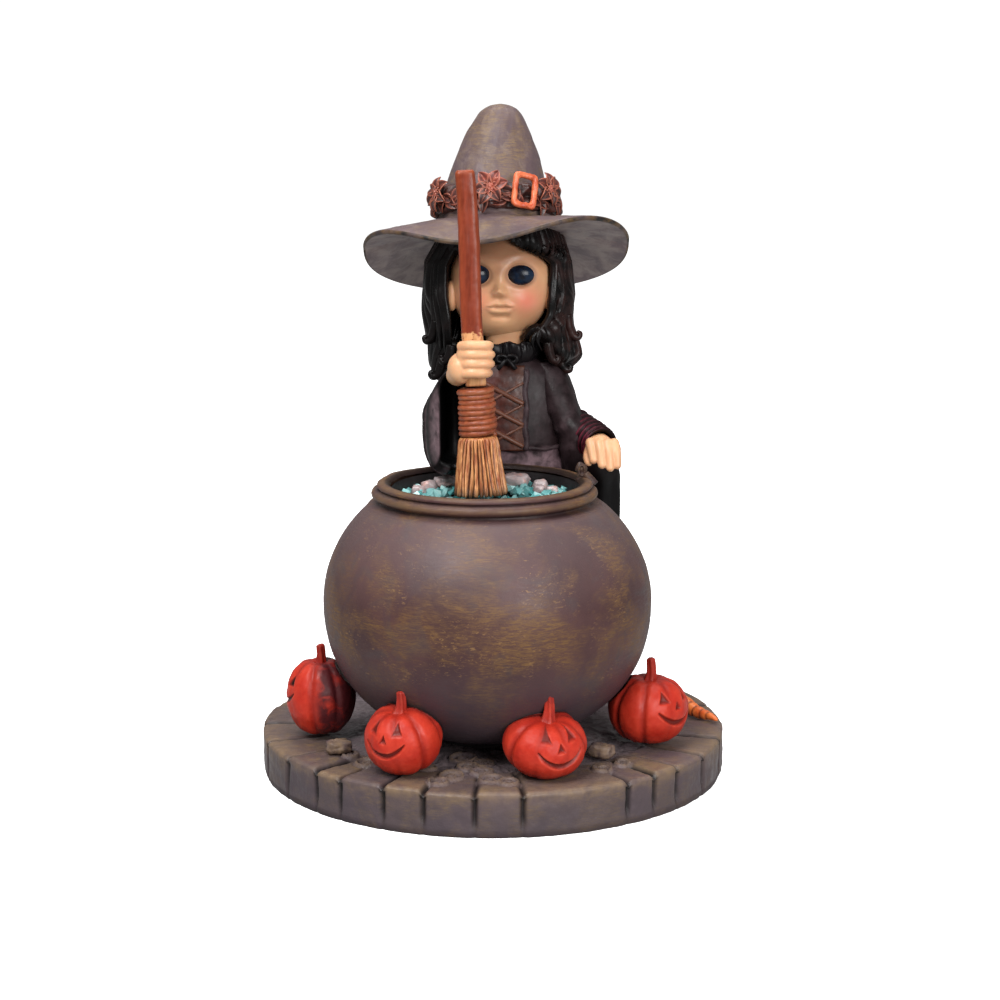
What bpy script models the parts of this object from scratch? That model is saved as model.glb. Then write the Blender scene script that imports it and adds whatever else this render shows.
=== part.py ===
"""Witch stirring a cauldron: a small cast table figure with a swinging arm and broom.

Sizes are in millimetres and become metres in new_object. The origin is the middle of the plinth's
underside, -Y is the front and +Z is up. A ring is a list of points round a section, and a solid is
a stack of rings.
"""

from math import cos, exp, pi, radians, sin, sqrt

import bmesh
import bpy
from mathutils import Matrix, Vector

MM = 0.001
GAP = 0.3  # kept between touching pieces

# Plinth
BASE_R = 70.0
BASE_H = 13.0
ROOF_Z = 9.0  # underside of the plinth's top wall
HOLLOW_R = 59.6
# Directions of the joints between setts, in degrees from the front, positive to the right
SETT_LINES = (-174, -160, -146, -131, -117, -103, -88, -73, -58, -46, -38, -26, -16, -4)
SETT_LINES += (7, 33, 41, 49, 61, 75, 90, 105, 120, 134, 148, 161, 174)

# Cauldron
POT_X = -1.9
POT_Y = -15.5
POT_Z = 54.4  # height of its widest section
POT_R = 48.9
POT_UP = 40.6  # half-heights above and below the widest section
POT_DOWN = 41.0
POT_WALL = 2.8
POT_FOOT_R = 8.0
RIM_R = 32.5
RIM_Z = 89.5
MOUTH_R = 26.8
LEDGE_Z = 80.8

# Witch
SHOULDER = (-12.0, 30.0)  # upright shaft of the stirring arm
SWING = 6.0  # degrees to either side
HUB_R = 6.6
HUB_LOW = 97.6
HUB_TOP = 110.6
HEAD = (3.1, 31.0, 144.0)
HEAD_SIZE = (15.4, 14.5, 17.5)

# Hat
HAT_X = 0.9
HAT_Y = 33.0
BRIM_X = 41.0
BRIM_Y = 35.5
BRIM_Z = 156.0
BRIM_RISE = 15.8  # how far the front corners would stand above the sides
BRIM_SAG = 17.3  # how far the back edge hangs below the sides
BRIM_TILT = 0.9  # how far the right edge stands above the middle
BRIM_DIP = 12.6  # how far the front edge bends down

# Broom: the axis runs through these two points
BROOM_TOP = Vector((-7.9, -13.4, 179.5))
BROOM_FOOT = Vector((-3.4, -17.5, 86.4))

# Pumpkins: name, x, y, radius, half height, lean in degrees
PUMPKINS = (
    ("pumpkin_left", -51.0, -15.8, 10.3, 12.0, 2.0),
    ("pumpkin_front_left", -25.0, -51.2, 11.0, 9.9, 14.0),
    ("pumpkin_front_right", 14.6, -53.0, 11.8, 8.9, 17.0),
    ("pumpkin_right", 45.6, -23.4, 11.8, 10.3, 2.0),
)

# Electrics
DOOR_SIZE = (48.0, 25.0)
DOOR_MIDDLE = (-3.0, 12.0)
HINGE_X = -29.0
HINGE_Z = 1.6
CELL_R = 10.0
KNOB = (24.0, -24.0)
KNOB_TRAVEL = 2.0


# ---------------------------------------------------------------- helpers


def clear_scene():
    for obj in list(bpy.data.objects):
        bpy.data.objects.remove(obj, do_unlink=True)


def material(name, colour, roughness, metallic=0.0):
    made = bpy.data.materials.get(name)
    if made:
        return made
    made = bpy.data.materials.new(name)
    made.use_nodes = True
    shader = made.node_tree.nodes["Principled BSDF"]
    shader.inputs["Base Color"].default_value = (*colour, 1.0)
    shader.inputs["Roughness"].default_value = roughness
    shader.inputs["Metallic"].default_value = metallic
    return made


def new_object(name, points, faces, look, origin=(0.0, 0.0, 0.0)):
    """A mesh object from points in millimetres, with its faces turned outwards."""
    mesh = bpy.data.meshes.new(name)
    shift = Vector(origin)
    mesh.from_pydata([(Vector(p) - shift) * MM for p in points], [], faces)
    work = bmesh.new()
    work.from_mesh(mesh)
    bmesh.ops.recalc_face_normals(work, faces=work.faces)
    if work.calc_volume(signed=True) < 0:
        bmesh.ops.reverse_faces(work, faces=work.faces)
    work.to_mesh(mesh)
    work.free()
    mesh.shade_smooth()
    mesh.set_sharp_from_angle(angle=radians(40))
    obj = bpy.data.objects.new(name, mesh)
    obj.location = shift * MM
    obj.data.materials.append(look)
    bpy.context.scene.collection.objects.link(obj)
    return obj


def ring_solid(name, rings, look, loop=False, origin=(0.0, 0.0, 0.0)):
    """Joins rings in order. A ring of one point is a pole; loop joins the last ring to the first."""
    points = []
    starts = []
    for ring in rings:
        starts.append((len(points), len(ring)))
        points += ring
    faces = []
    pairs = list(zip(starts, starts[1:]))
    if loop:
        pairs.append((starts[-1], starts[0]))
    for (low, low_count), (high, high_count) in pairs:
        count = max(low_count, high_count)
        for i in range(count):
            j = (i + 1) % count
            if low_count == 1:
                faces.append((low, high + j, high + i))
            elif high_count == 1:
                faces.append((low + i, low + j, high))
            else:
                faces.append((low + i, low + j, high + j, high + i))
    if not loop:
        for start, count in (starts[0], starts[-1]):
            if count > 1:
                faces.append(tuple(range(start, start + count)))
    return new_object(name, points, faces, look, origin)


def circle(x, y, z, r, count, ry=None, power=2.0):
    """A level ring; power above 2 squares it off."""
    ry = r if ry is None else ry
    ring = []
    for i in range(count):
        angle = 2 * pi * i / count
        c, s = cos(angle), sin(angle)
        k = (abs(c) ** power + abs(s) ** power) ** (-1 / power)
        ring.append((x + r * k * c, y + ry * k * s, z))
    return ring


def turned(name, centre, profile, count, look, loop=False, origin=(0.0, 0.0, 0.0)):
    """Turns (radius, z) points about an upright axis."""
    x, y = centre
    rings = [circle(x, y, z, r, count) if r > 0 else [(x, y, z)] for r, z in profile]
    return ring_solid(name, rings, look, loop, origin)


def along(name, start, end, profile, count, look, loop=False, origin=(0.0, 0.0, 0.0), spin=0.0):
    """Turns (radius, distance) points about the line from start to end."""
    start = Vector(start)
    direction = (Vector(end) - start).normalized()
    side = direction.orthogonal().normalized()
    side.rotate(Matrix.Rotation(spin, 3, direction))
    across = direction.cross(side)
    rings = []
    for r, distance in profile:
        middle = start + direction * distance
        if r == 0:
            rings.append([tuple(middle)])
            continue
        turns = [2 * pi * i / count for i in range(count)]
        rings.append([tuple(middle + (side * cos(a) + across * sin(a)) * r) for a in turns])
    return ring_solid(name, rings, look, loop, origin)


def rod(name, start, end, r, count, look, origin=(0.0, 0.0, 0.0)):
    length = (Vector(end) - Vector(start)).length
    return along(name, start, end, [(r, 0), (r, length)], count, look, False, origin)


def block(name, low, high, look, bevel=0.0, origin=(0.0, 0.0, 0.0)):
    (x0, y0, z0), (x1, y1, z1) = low, high
    rings = [[(x0, y0, z), (x1, y0, z), (x1, y1, z), (x0, y1, z)] for z in (z0, z1)]
    obj = ring_solid(name, rings, look, False, origin)
    if bevel:
        edges = obj.modifiers.new("edges", "BEVEL")
        edges.width = bevel * MM
        edges.segments = 1
    return obj


def ellipsoid(name, centre, size, look, count=16, levels=8, turn=None):
    """A ball stretched to half-sizes, turned about its middle by a matrix."""
    rings = []
    for i in range(levels + 1):
        tilt = pi * i / levels - pi / 2
        r = cos(tilt)
        if i in (0, levels):
            rings.append([(0.0, 0.0, sin(tilt))])
        else:
            rings.append(circle(0.0, 0.0, sin(tilt), r, count))
    turn = turn or Matrix.Identity(3)
    placed = []
    for ring in rings:
        scaled = [Vector((x * size[0], y * size[1], z * size[2])) for x, y, z in ring]
        placed.append([tuple(Vector(centre) + turn @ p) for p in scaled])
    return ring_solid(name, placed, look)


def as_cutter(obj):
    obj.hide_render = True
    obj.display_type = "WIRE"
    return obj


def combine(obj, operation, others):
    for other in others:
        as_cutter(other)
        change = obj.modifiers.new(operation.lower(), "BOOLEAN")
        change.operation = operation
        change.object = other
    return obj


def cut(obj, *others):
    return combine(obj, "DIFFERENCE", others)


def join(obj, *others):
    return combine(obj, "UNION", others)


# ---------------------------------------------------------------- materials


def cast_stone():
    return material("base_stone", (0.16, 0.11, 0.09), 0.6)


def pot_paint():
    return material("cauldron_paint", (0.17, 0.11, 0.09), 0.45)


def pumpkin_paint():
    return material("pumpkin_paint", (0.78, 0.12, 0.05), 0.4)


def robe_paint():
    return material("robe_paint", (0.045, 0.03, 0.035), 0.5)


def bodice_paint():
    return material("bodice_paint", (0.16, 0.06, 0.05), 0.5)


def skin():
    return material("skin_paint", (0.86, 0.55, 0.36), 0.5)


def hair_paint():
    return material("hair_paint", (0.02, 0.015, 0.018), 0.35)


def hat_paint():
    return material("hat_paint", (0.24, 0.17, 0.15), 0.6)


def trim_paint():
    return material("trim_paint", (0.36, 0.09, 0.05), 0.5)


def buckle_paint():
    return material("buckle_paint", (0.85, 0.26, 0.1), 0.4)


def wood_paint():
    return material("broom_handle_paint", (0.42, 0.11, 0.04), 0.45)


def straw_paint():
    return material("bristle_paint", (0.55, 0.27, 0.1), 0.6)


def eye_gloss():
    return material("eye_gloss", (0.01, 0.02, 0.06), 0.1)


def potion_glass():
    return material("potion_glass", (0.25, 0.68, 0.66), 0.15)


def pebble_stone():
    return material("pebble_stone", (0.6, 0.5, 0.47), 0.6)


def clear_plastic():
    return material("clear_plastic", (0.8, 0.85, 0.85), 0.3)


def dark_plastic():
    return material("dark_plastic", (0.03, 0.03, 0.03), 0.5)


def steel():
    return material("steel", (0.6, 0.6, 0.6), 0.3, 1.0)


def brass():
    return material("brass", (0.7, 0.5, 0.2), 0.35, 1.0)


def copper():
    return material("copper", (0.75, 0.35, 0.2), 0.4, 1.0)


def board():
    return material("circuit_board", (0.03, 0.2, 0.08), 0.5)


def wire_coat(name, colour):
    return material(name, colour, 0.5)


# ---------------------------------------------------------------- base


def plinth():
    """A cast ring of setts with a closed top, hollow underneath, with three screw bosses."""
    grooves = sorted(radians(line - 90) % (2 * pi) for line in SETT_LINES)
    half = radians(0.8)
    angles = []
    for start, end in zip(grooves, grooves[1:] + [grooves[0] + 2 * pi]):
        parts = int((end - start) / radians(7.5)) + 1
        angles += [start, start + half]
        angles += [start + (end - start) * k / parts for k in range(1, parts)]
        angles.append(end - half)
    notch = {round(a, 6) for a in grooves}

    def ring(r, z, depth=0.0):
        found = []
        for a in angles:
            reach = r - (depth if round(a, 6) in notch else 0.0)
            found.append((reach * cos(a), reach * sin(a), z))
        return found

    rings = [
        [(0, 0, BASE_H)],
        ring(BASE_R - 1.6, BASE_H, 0.8),
        ring(BASE_R, BASE_H - 1.6, 1.3),
        ring(BASE_R, 1.2, 1.3),
        ring(BASE_R - 1.0, 0.0),
        ring(HOLLOW_R, 0.0),
        ring(HOLLOW_R, ROOF_Z),
        [(0, 0, ROOF_Z)],
    ]
    body = ring_solid("base_plinth", rings, cast_stone())
    for i, (x, y) in enumerate(screw_places()):
        boss = turned(f"boss_{i}", (x, y), [(3.4, 2.8), (3.4, ROOF_Z + 1)], 12, cast_stone())
        join(body, boss)
        pilot = turned(f"pilot_{i}", (x, y), [(1.0, -1.0), (1.0, 7.5)], 12, cast_stone())
        cut(body, pilot)
    lamp_hole = turned("lamp_hole", (POT_X, POT_Y), [(4.0, 5.0), (4.0, 20.0)], 16, cast_stone())
    lead_hole = turned("lead_hole", (2.5, 42.0), [(3.2, 5.0), (3.2, 20.0)], 12, cast_stone())
    return cut(body, lamp_hole, lead_hole)


def screw_places():
    return [(52.0 * cos(radians(a)), 52.0 * sin(radians(a))) for a in (-90, 30, 150)]


def cover():
    """The plate that closes the plinth, with the door opening, hinge slot and switch slot."""
    rings = [circle(0, 0, z, HOLLOW_R - 2 * GAP, 48) for z in (0.8, 2.4)]
    plate = ring_solid("base_cover", rings, dark_plastic())
    x, y = DOOR_MIDDLE
    wide, deep = DOOR_SIZE
    opening = block(
        "door_opening",
        (HINGE_X - 1.4, y - deep / 2 - GAP, -1),
        (x + wide / 2 + GAP, y + deep / 2 + GAP, 5),
        dark_plastic(),
    )
    slot_x = KNOB[0] + KNOB_TRAVEL / 2
    slot_low = (slot_x - 3.0, KNOB[1] - 1.6, -1)
    slot_high = (slot_x + 3.0, KNOB[1] + 1.6, 5)
    slot = block("knob_slot", slot_low, slot_high, dark_plastic())
    pin_hole = rod("pin_hole", (HINGE_X, y - 15, HINGE_Z), (HINGE_X, y + 15, HINGE_Z), 0.55, 12, steel())
    cut(plate, opening, slot, pin_hole)
    for i, place in enumerate(screw_places()):
        profile = [(3.0, -1.0), (3.0, 1.65), (1.3, 1.65), (1.3, 5.0)]
        cut(plate, turned(f"screw_well_{i}", place, profile, 12, steel()))
    return plate


def screws():
    for i, place in enumerate(screw_places()):
        profile = [(2.5, 0.85), (2.6, 1.35), (0.8, 1.35), (0.8, 6.6), (0.0, 7.2)]
        turned(f"cover_screw_{i + 1}", place, profile, 12, steel())


def battery_door():
    """A flat door whose barrel turns on the door pin. Its origin is on the hinge axis."""
    x, y = DOOR_MIDDLE
    wide, deep = DOOR_SIZE
    hinge = (HINGE_X, y, HINGE_Z)
    low = (HINGE_X + 0.4, y - deep / 2, 0.9)
    high = (x + wide / 2, y + deep / 2, 2.3)
    door = block("battery_door", low, high, dark_plastic(), origin=hinge)
    barrel = rod(
        "barrel", (HINGE_X, low[1] + 1, HINGE_Z), (HINGE_X, high[1] - 1, HINGE_Z), 0.85, 12, dark_plastic()
    )
    bore = rod("barrel_bore", (HINGE_X, y - 15, HINGE_Z), (HINGE_X, y + 15, HINGE_Z), 0.5, 12, steel())
    join(door, barrel)
    cut(door, bore)
    block("door_contact", (-20.0, y - 3, 2.42), (16.0, y + 3, 2.62), brass())
    rod("door_pin", (HINGE_X, y - 14.5, HINGE_Z), (HINGE_X, y + 14.5, HINGE_Z), 0.42, 12, steel())
    return door


def cells():
    """Two coin cells in a holder plate, with the upper contact strips under the board."""
    x, y = DOOR_MIDDLE
    holder = block("cell_holder", (x - 23.5, y - 12.0, 2.9), (x + 23.5, y + 12.0, 6.0), dark_plastic())
    for i, side in enumerate((-1, 1)):
        middle = (x + side * 11.2, y)
        cut(holder, turned(f"pocket_{i}", middle, [(10.35, 0), (10.35, 9)], 28, dark_plastic()))
        profile = [(0, 2.85), (9.2, 2.85), (CELL_R, 3.2), (CELL_R, 5.9), (0, 5.9)]
        turned(f"coin_cell_{i + 1}", middle, profile, 28, steel())
        block(
            f"upper_contact_{i + 1}",
            (middle[0] - 6, y - 2.5, 6.25),
            (middle[0] + 6, y + 2.5, 6.5),
            brass(),
        )


def circuit():
    """The main board with the lamp, the slide switch and the knob."""
    block("circuit_board", (-28.0, -30.0, 6.8), (32.0, 26.0, 7.8), board())
    foot = 8.1
    collar_top = foot + 0.6
    lens = [(2.9, foot), (2.9, collar_top), (2.5, collar_top), (2.5, foot + 6), (1.7, foot + 7.8), (0, foot + 8.4)]
    turned("lamp", (POT_X, POT_Y), lens, 14, clear_plastic())
    x, y = KNOB
    block("switch_body", (x - 4.0, y - 2.2, 3.4), (x + 6.0, y + 2.2, 6.5), steel())
    block("switch_knob", (x - 1.2, y - 1.2, 1.0), (x + 1.2, y + 1.2, 3.1), dark_plastic(), origin=(x, y, 2.0))


def lead(name, offset, coat):
    """One insulated wire from the main board, up through the skirt, to the drive board."""
    x = 2.5 + offset
    route = [(x, 26.8, 7.3), (x, 31.0, 7.3), (x, 36.0, 7.3), (x, 40.2, 8.2), (x, 41.6, 11.5), (x, 42.0, 16.0)]
    route += [(x, 42.0, z) for z in (30.0, 45.0, 58.0, 64.0)]
    route += [(x, 40.4, 68.5), (x, 38.6, 72.0), (x, 37.7, 76.0)]
    curve = bpy.data.curves.new(name, "CURVE")
    curve.dimensions = "3D"
    curve.bevel_depth = 0.6 * MM
    curve.bevel_resolution = 1
    curve.use_fill_caps = True
    spline = curve.splines.new("POLY")
    spline.points.add(len(route) - 1)
    for point, place in zip(spline.points, route):
        point.co = (*[v * MM for v in place], 1.0)
    obj = bpy.data.objects.new(name, curve)
    obj.data.materials.append(coat)
    bpy.context.scene.collection.objects.link(obj)
    return obj


# ---------------------------------------------------------------- cauldron


def pot_radius(z, grow=0.0):
    """Outer radius of the round body at height z."""
    half = POT_UP if z > POT_Z else POT_DOWN
    power = 2.0 if z > POT_Z else 2.15
    part = min(abs(z - POT_Z) / half, 0.99)
    return POT_R * (1 - part**power) ** (1 / power) + grow


def pot_outline(grow=0.0, steps=8):
    """(radius, z) up the outside, from the foot to the crest of the rim."""
    low = BASE_H + GAP
    top = 84.0
    outline = [(16.0, low - grow)]
    for i in range(1, steps + 1):
        z = low + (top - low) * (0.5 - 0.5 * cos(pi * i / steps))
        outline.append((pot_radius(z, grow), z))
    outline += [(RIM_R + grow, 85.6), (RIM_R - 0.2 + grow, 87.2), (30.5 + grow, 88.0)]
    outline += [(30.5 + grow, 88.9), (29.4 + grow, RIM_Z + grow), (27.9, RIM_Z + grow)]
    return outline


def cauldron():
    """A hollow cast pot. The tray stands on the ledge inside its neck."""
    outer = pot_outline()
    inner = [(MOUTH_R, RIM_Z - 1.0), (MOUTH_R, LEDGE_Z), (24.4, LEDGE_Z), (24.4, LEDGE_Z - 2.4)]
    low, top = 17.0, 76.0
    for i in range(7):
        z = top + (low - top) * i / 6
        inner.append((pot_radius(z) - POT_WALL if z > 20 else 16.0, z))
    inner += [(POT_FOOT_R, low), (POT_FOOT_R, BASE_H + GAP)]
    return turned("cauldron", (POT_X, POT_Y), outer + inner, 40, pot_paint(), loop=True)


def pot_clearance(name, grow=GAP):
    """A solid a little larger than the pot, for cutting what leans on it."""
    outline = [(0.0, 5.0), (16.0, 5.0)] + pot_outline(grow)[1:-2]
    outline += [(29.4, RIM_Z + 0.4), (0.0, RIM_Z + 0.4)]
    return turned(name, (POT_X, POT_Y), outline, 40, pot_paint())


def rim_lug():
    """The small looped lug that stands on the rim, at the right towards the back."""
    angle = radians(12)
    middle = Vector((POT_X + 29.0 * cos(angle), POT_Y + 29.0 * sin(angle), 0))
    low = RIM_Z + GAP
    profile = [(1.9, low), (1.5, low + 1.2), (1.9, low + 2.6), (1.3, low + 4.2), (0, low + 4.8)]
    return turned("rim_lug", (middle.x, middle.y), profile, 10, pot_paint())


def potion():
    centre = (POT_X, POT_Y)
    r = MOUTH_R - GAP
    tray = [(0, LEDGE_Z + 0.3), (r, LEDGE_Z + 0.3), (r, 83.2), (r - 1, 83.2), (r - 1, 82.1), (0, 82.1)]
    turned("potion_tray", centre, tray, 36, clear_plastic())
    rings = [[(*centre, 82.4)]]
    rings += [circle(*centre, 82.4, r - 1.3, 30), circle(*centre, 84.6, r - 1.3, 30)]
    rings += [circle(*centre, 85.6, r - 4, 30), circle(*centre, 85.3, 10, 30), [(*centre, 85.3)]]
    ring_solid("potion_chips", rings, potion_glass())
    places = [(-12.5, 16.0, 4.4), (9.0, 17.5, 5.0)]
    for i, (dx, dy, size) in enumerate(places):
        middle = (POT_X + dx, POT_Y + dy, 85.9 + size * 0.55)
        half = (size, size * 0.8, size * 0.5)
        ellipsoid(f"potion_pebble_{i + 1}", middle, half, pebble_stone(), 10, 6)


# ---------------------------------------------------------------- things on the plinth


def pumpkin(name, x, y, r, half, lean):
    """A ribbed ball with a stem, leaning away from the pot and cut where it meets it."""
    outward = Vector((x - POT_X, y - POT_Y, 0)).normalized()
    turn = Matrix.Rotation(radians(lean), 3, Vector((0, 0, 1)).cross(outward))
    middle = Vector((x, y, BASE_H + GAP + half))
    levels = 8
    ribs = 9
    rings = []
    for i in range(levels + 1):
        tilt = pi * i / levels - pi / 2
        reach = r * cos(tilt)
        z = half * sin(tilt) * (1 - 0.12 * exp(-((reach / (0.4 * r)) ** 2)))
        count = ribs * 2
        ring = []
        for k in range(count):
            angle = 2 * pi * k / count
            rib = reach * (1.0 if k % 2 else 0.92)
            ring.append(tuple(middle + turn @ Vector((rib * cos(angle), rib * sin(angle), z))))
        rings.append(ring if 0 < i < levels else [tuple(middle + turn @ Vector((0, 0, z)))])
    body = ring_solid(name, rings, pumpkin_paint())
    root = middle + turn @ Vector((0, 0, half * 0.7))
    tip = root + Vector((0, 0, half * 0.3 + 4.6))
    profile = [(2.3, 0), (1.5, half * 0.22), (1.2, (tip - root).length)]
    stem = along(name + "_stem", root, tip, profile, 6, pumpkin_paint())
    floor = block(name + "_floor", (x - 30, y - 30, 0), (x + 30, y + 30, BASE_H + GAP), cast_stone())
    join(body, stem)
    return cut(body, pot_clearance(name + "_pot"), floor)


def carrot():
    """A tapered root lying on the plinth behind the right pumpkin."""
    start, end = Vector((56.6, 12.4, 15.9)), Vector((67.6, -5.6, 14.6))
    length = (end - start).length
    profile = [(0, 0), (2.0, 0.6), (2.4, 3.0), (1.9, length * 0.6), (0.9, length - 1.0), (0, length)]
    return along("carrot", start, end, profile, 10, buckle_paint())


def ground_pieces():
    """A loose stone and a block of wood at the pot's foot."""
    turn = Matrix.Rotation(radians(25), 3, "Z")
    size = 4.6
    middle = (-44.5, -34.0, BASE_H + GAP + size * 0.45)
    ellipsoid("loose_stone", middle, (size, size * 0.75, size * 0.45), cast_stone(), 9, 5, turn)
    wood = block("wood_block", (-4.2, -2.6, 0), (4.2, 2.6, 4.4), cast_stone(), 0.5)
    wood.location = (31.2 * MM, -38.6 * MM, (BASE_H + GAP) * MM)
    wood.rotation_euler.z = radians(-28)
    return wood


# ---------------------------------------------------------------- witch


def robe_rings(grow=0.0, count=28):
    """Sections of the robe and skirt from the plinth to the neck: middle y, z, half width, half depth."""
    sections = (
        (3.0, 41.0, BASE_H + GAP, 36.0, 20.0),
        (3.0, 40.0, 34.0, 33.0, 18.5),
        (3.0, 37.5, 56.0, 29.0, 17.5),
        (3.0, 34.0, 74.0, 25.0, 16.0),
        (3.0, 32.0, 86.0, 22.0, 14.0),
        (3.0, 31.0, 96.0, 21.0, 12.8),
        (3.5, 31.0, 106.0, 21.4, 11.6),
        (4.0, 31.0, 113.0, 19.0, 10.3),
        (4.0, 31.0, 118.0, 13.5, 8.9),
        (4.0, 31.0, 120.5, 8.0, 7.6),
    )
    rings = []
    for x, y, z, wide, deep in sections:
        last = z == sections[-1][2]
        height = z + grow if last else z
        rings.append(circle(x, y, height, wide + grow, count, deep + grow, 2.2))
    return rings


def robe_clearance(name):
    return ring_solid(name, robe_rings(GAP), robe_paint())


def wedge(name, reach, half, low, high):
    """What the upper arm sweeps: a fan from the shoulder towards the front."""
    x, y = SHOULDER
    spread = reach * sin(radians(SWING)) + 0.6
    outer = x - half - 12
    plan = [(outer, y + 0.5), (outer, y - reach), (x + half + spread, y - reach), (x + half, y)]
    rings = [[(px, py, z) for px, py in plan] for z in (low, high)]
    return ring_solid(name, rings, robe_paint())


def robe():
    """Robe and skirt in one casting, cored for the drive and pocketed for the right shoulder."""
    body = ring_solid("robe", robe_rings(), robe_paint())
    pocket = turned("pocket", SHOULDER, [(HUB_R + 0.5, 97.0), (HUB_R + 0.5, 125.0)], 24, robe_paint())
    join(pocket, wedge("sweep", 30.0, HUB_R + 0.3, 97.4, 124.0))
    upper = block("upper_core", (-15.4, 27.4, 70.0), (16.0, 34.6, 93.1), robe_paint())
    join(upper, block("magnet_room", (-8.5, 26.3, 76.4), (1.5, 28.0, 85.2), robe_paint()))
    join(upper, block("rear_core", (-8.5, 33.0, 69.0), (16.0, 40.9, 92.9), robe_paint()))
    lower = block("lower_core", (-14.0, 35.4, 5.0), (16.0, 44.6, 71.0), robe_paint())
    bush_hole = turned("bush_hole", SHOULDER, [(2.75, 90.0), (2.75, 99.0)], 16, robe_paint())
    return cut(body, pocket, pot_clearance("robe_pot"), upper, lower, bush_hole)


def bodice():
    """The laced panel on the front of the robe, with its lace as a raised crossing."""
    front = []
    for z, y in ((93.5, 16.6), (101.0, 17.0), (109.0, 17.6), (116.0, 19.6)):
        front.append([(-3.0, y, z), (9.6, y, z), (9.6, y + 12, z), (-3.0, y + 12, z)])
    panel = ring_solid("bodice", front, bodice_paint())
    guard = wedge("bodice_guard", 30.0, HUB_R + 1.0, 90.0, 125.0)
    cut(panel, robe_clearance("bodice_robe"), guard)
    return panel


def collar():
    """A ruffled ring standing on the robe's neck."""
    count = 24
    rings = []
    profile = ((9.4, 120.8, 0.0), (10.6, 122.4, 0.8), (9.2, 124.6, 1.2), (7.2, 124.2, 0.6), (7.2, 120.8, 0.0))
    for r, z, wave in profile:
        ring = []
        for k in range(count):
            angle = 2 * pi * k / count
            reach = r + wave * (1 if k % 2 else -0.4)
            ring.append((4.0 + reach * cos(angle), 30.4 + reach * 0.95 * sin(angle), z))
        rings.append(ring)
    return ring_solid("collar", rings, robe_paint(), loop=True)


def slab_ring(y, x, low, high, half, count=14):
    """An upright oval section of a sleeve in the plane y."""
    middle = (low + high) / 2
    tall = (high - low) / 2
    ring = []
    for i in range(count):
        angle = 2 * pi * i / count
        c, s = cos(angle), sin(angle)
        k = (abs(c) ** 2.6 + abs(s) ** 2.6) ** (-1 / 2.6)
        ring.append((x + half * k * c, y, middle + tall * k * s))
    return ring


def right_sleeve():
    """Shoulder hub, forearm and hanging bell of the stirring arm. Its origin is on the shoulder axis."""
    hub_profile = [(HUB_R, HUB_LOW), (HUB_R, HUB_TOP - 2), (HUB_R - 2, HUB_TOP), (0, HUB_TOP)]
    axis = (*SHOULDER, HUB_LOW)
    hub = turned("hub", SHOULDER, [(0, HUB_LOW)] + hub_profile, 24, robe_paint())
    sections = (
        (29.0, -12.0, 99.0, 110.0, 5.6),
        (20.0, -13.2, 98.0, 111.5, 5.9),
        (12.0, -14.6, 93.5, 113.0, 5.6),
        (5.0, -15.0, 91.4, 114.5, 5.2),
        (-2.0, -13.6, 91.4, 116.6, 4.8),
        (-7.0, -11.4, 96.0, 119.6, 4.4),
        (-10.0, -10.0, 112.5, 120.2, 3.6),
    )
    rings = [slab_ring(y, x, low, high, half) for y, x, low, high, half in sections]
    sleeve = ring_solid("right_sleeve", rings, robe_paint(), origin=axis)
    bore = turned("shaft_bore", SHOULDER, [(1.06, 90.0), (1.06, 108.4)], 16, steel())
    join(sleeve, hub)
    return cut(sleeve, bore)


def right_hand():
    """A fist closed round the broom handle."""
    middle = Vector((-6.6, -16.0, 125.2))
    turn = Matrix.Rotation(radians(-12), 3, "Y")
    hand = ellipsoid("right_hand", middle, (7.0, 6.6, 6.8), skin(), 18, 10, turn)
    wrist = along("wrist", (-9.3, -10.6, 121.0), (-7.5, -14.0, 124.0), [(3.1, 0), (3.6, 5.0)], 12, skin())
    join(hand, wrist)
    grip = broom_bar("grip_bore", 3.3 + GAP, 20.0, 75.0)
    stop = block("sleeve_face", (-18, -12.4, 105), (2, -2, 121.4), robe_paint())
    return cut(hand, grip, stop)


def broom_bar(name, half, start, end, look=None):
    """A square bar with rounded corners along the broom's axis, from start to end below its top."""
    direction = (BROOM_FOOT - BROOM_TOP).normalized()
    side = Vector((1, 0, 0)) - direction * direction.x
    side.normalize()
    across = direction.cross(side)
    rings = []
    for distance in (start, end):
        middle = BROOM_TOP + direction * distance
        ring = []
        for i in range(12):
            angle = 2 * pi * i / 12
            c, s = cos(angle), sin(angle)
            k = (abs(c) ** 5 + abs(s) ** 5) ** -0.2
            ring.append(tuple(middle + (side * c + across * s) * (half * k)))
        rings.append(ring)
    return ring_solid(name, rings, look or wood_paint())


def broom():
    """Handle, cord binding and bristles, each its own piece with a small gap between them."""
    handle = broom_bar("broom_handle", 2.95, 0.0, 61.6)
    direction = (BROOM_FOOT - BROOM_TOP).normalized()
    start = BROOM_TOP + direction * 61.9
    wraps = 7
    pitch = 14.6 / wraps
    profile = [(0, 0)]
    for i in range(wraps):
        profile += [(4.9 + 0.05 * i, pitch * i), (5.35 + 0.05 * i, pitch * (i + 0.5))]
    profile += [(5.2, 14.6), (0, 14.6)]
    along("broom_binding", start, BROOM_FOOT, profile, 12, trim_paint())
    brush_start = start + direction * 14.9
    length = (BROOM_FOOT - brush_start).length
    brush = [(0, 0), (5.4, 0), (6.3, length * 0.35), (7.3, length * 0.8), (7.6, length), (0, length)]
    along("broom_bristles", brush_start, BROOM_FOOT, brush, 20, straw_paint())
    return handle


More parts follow.
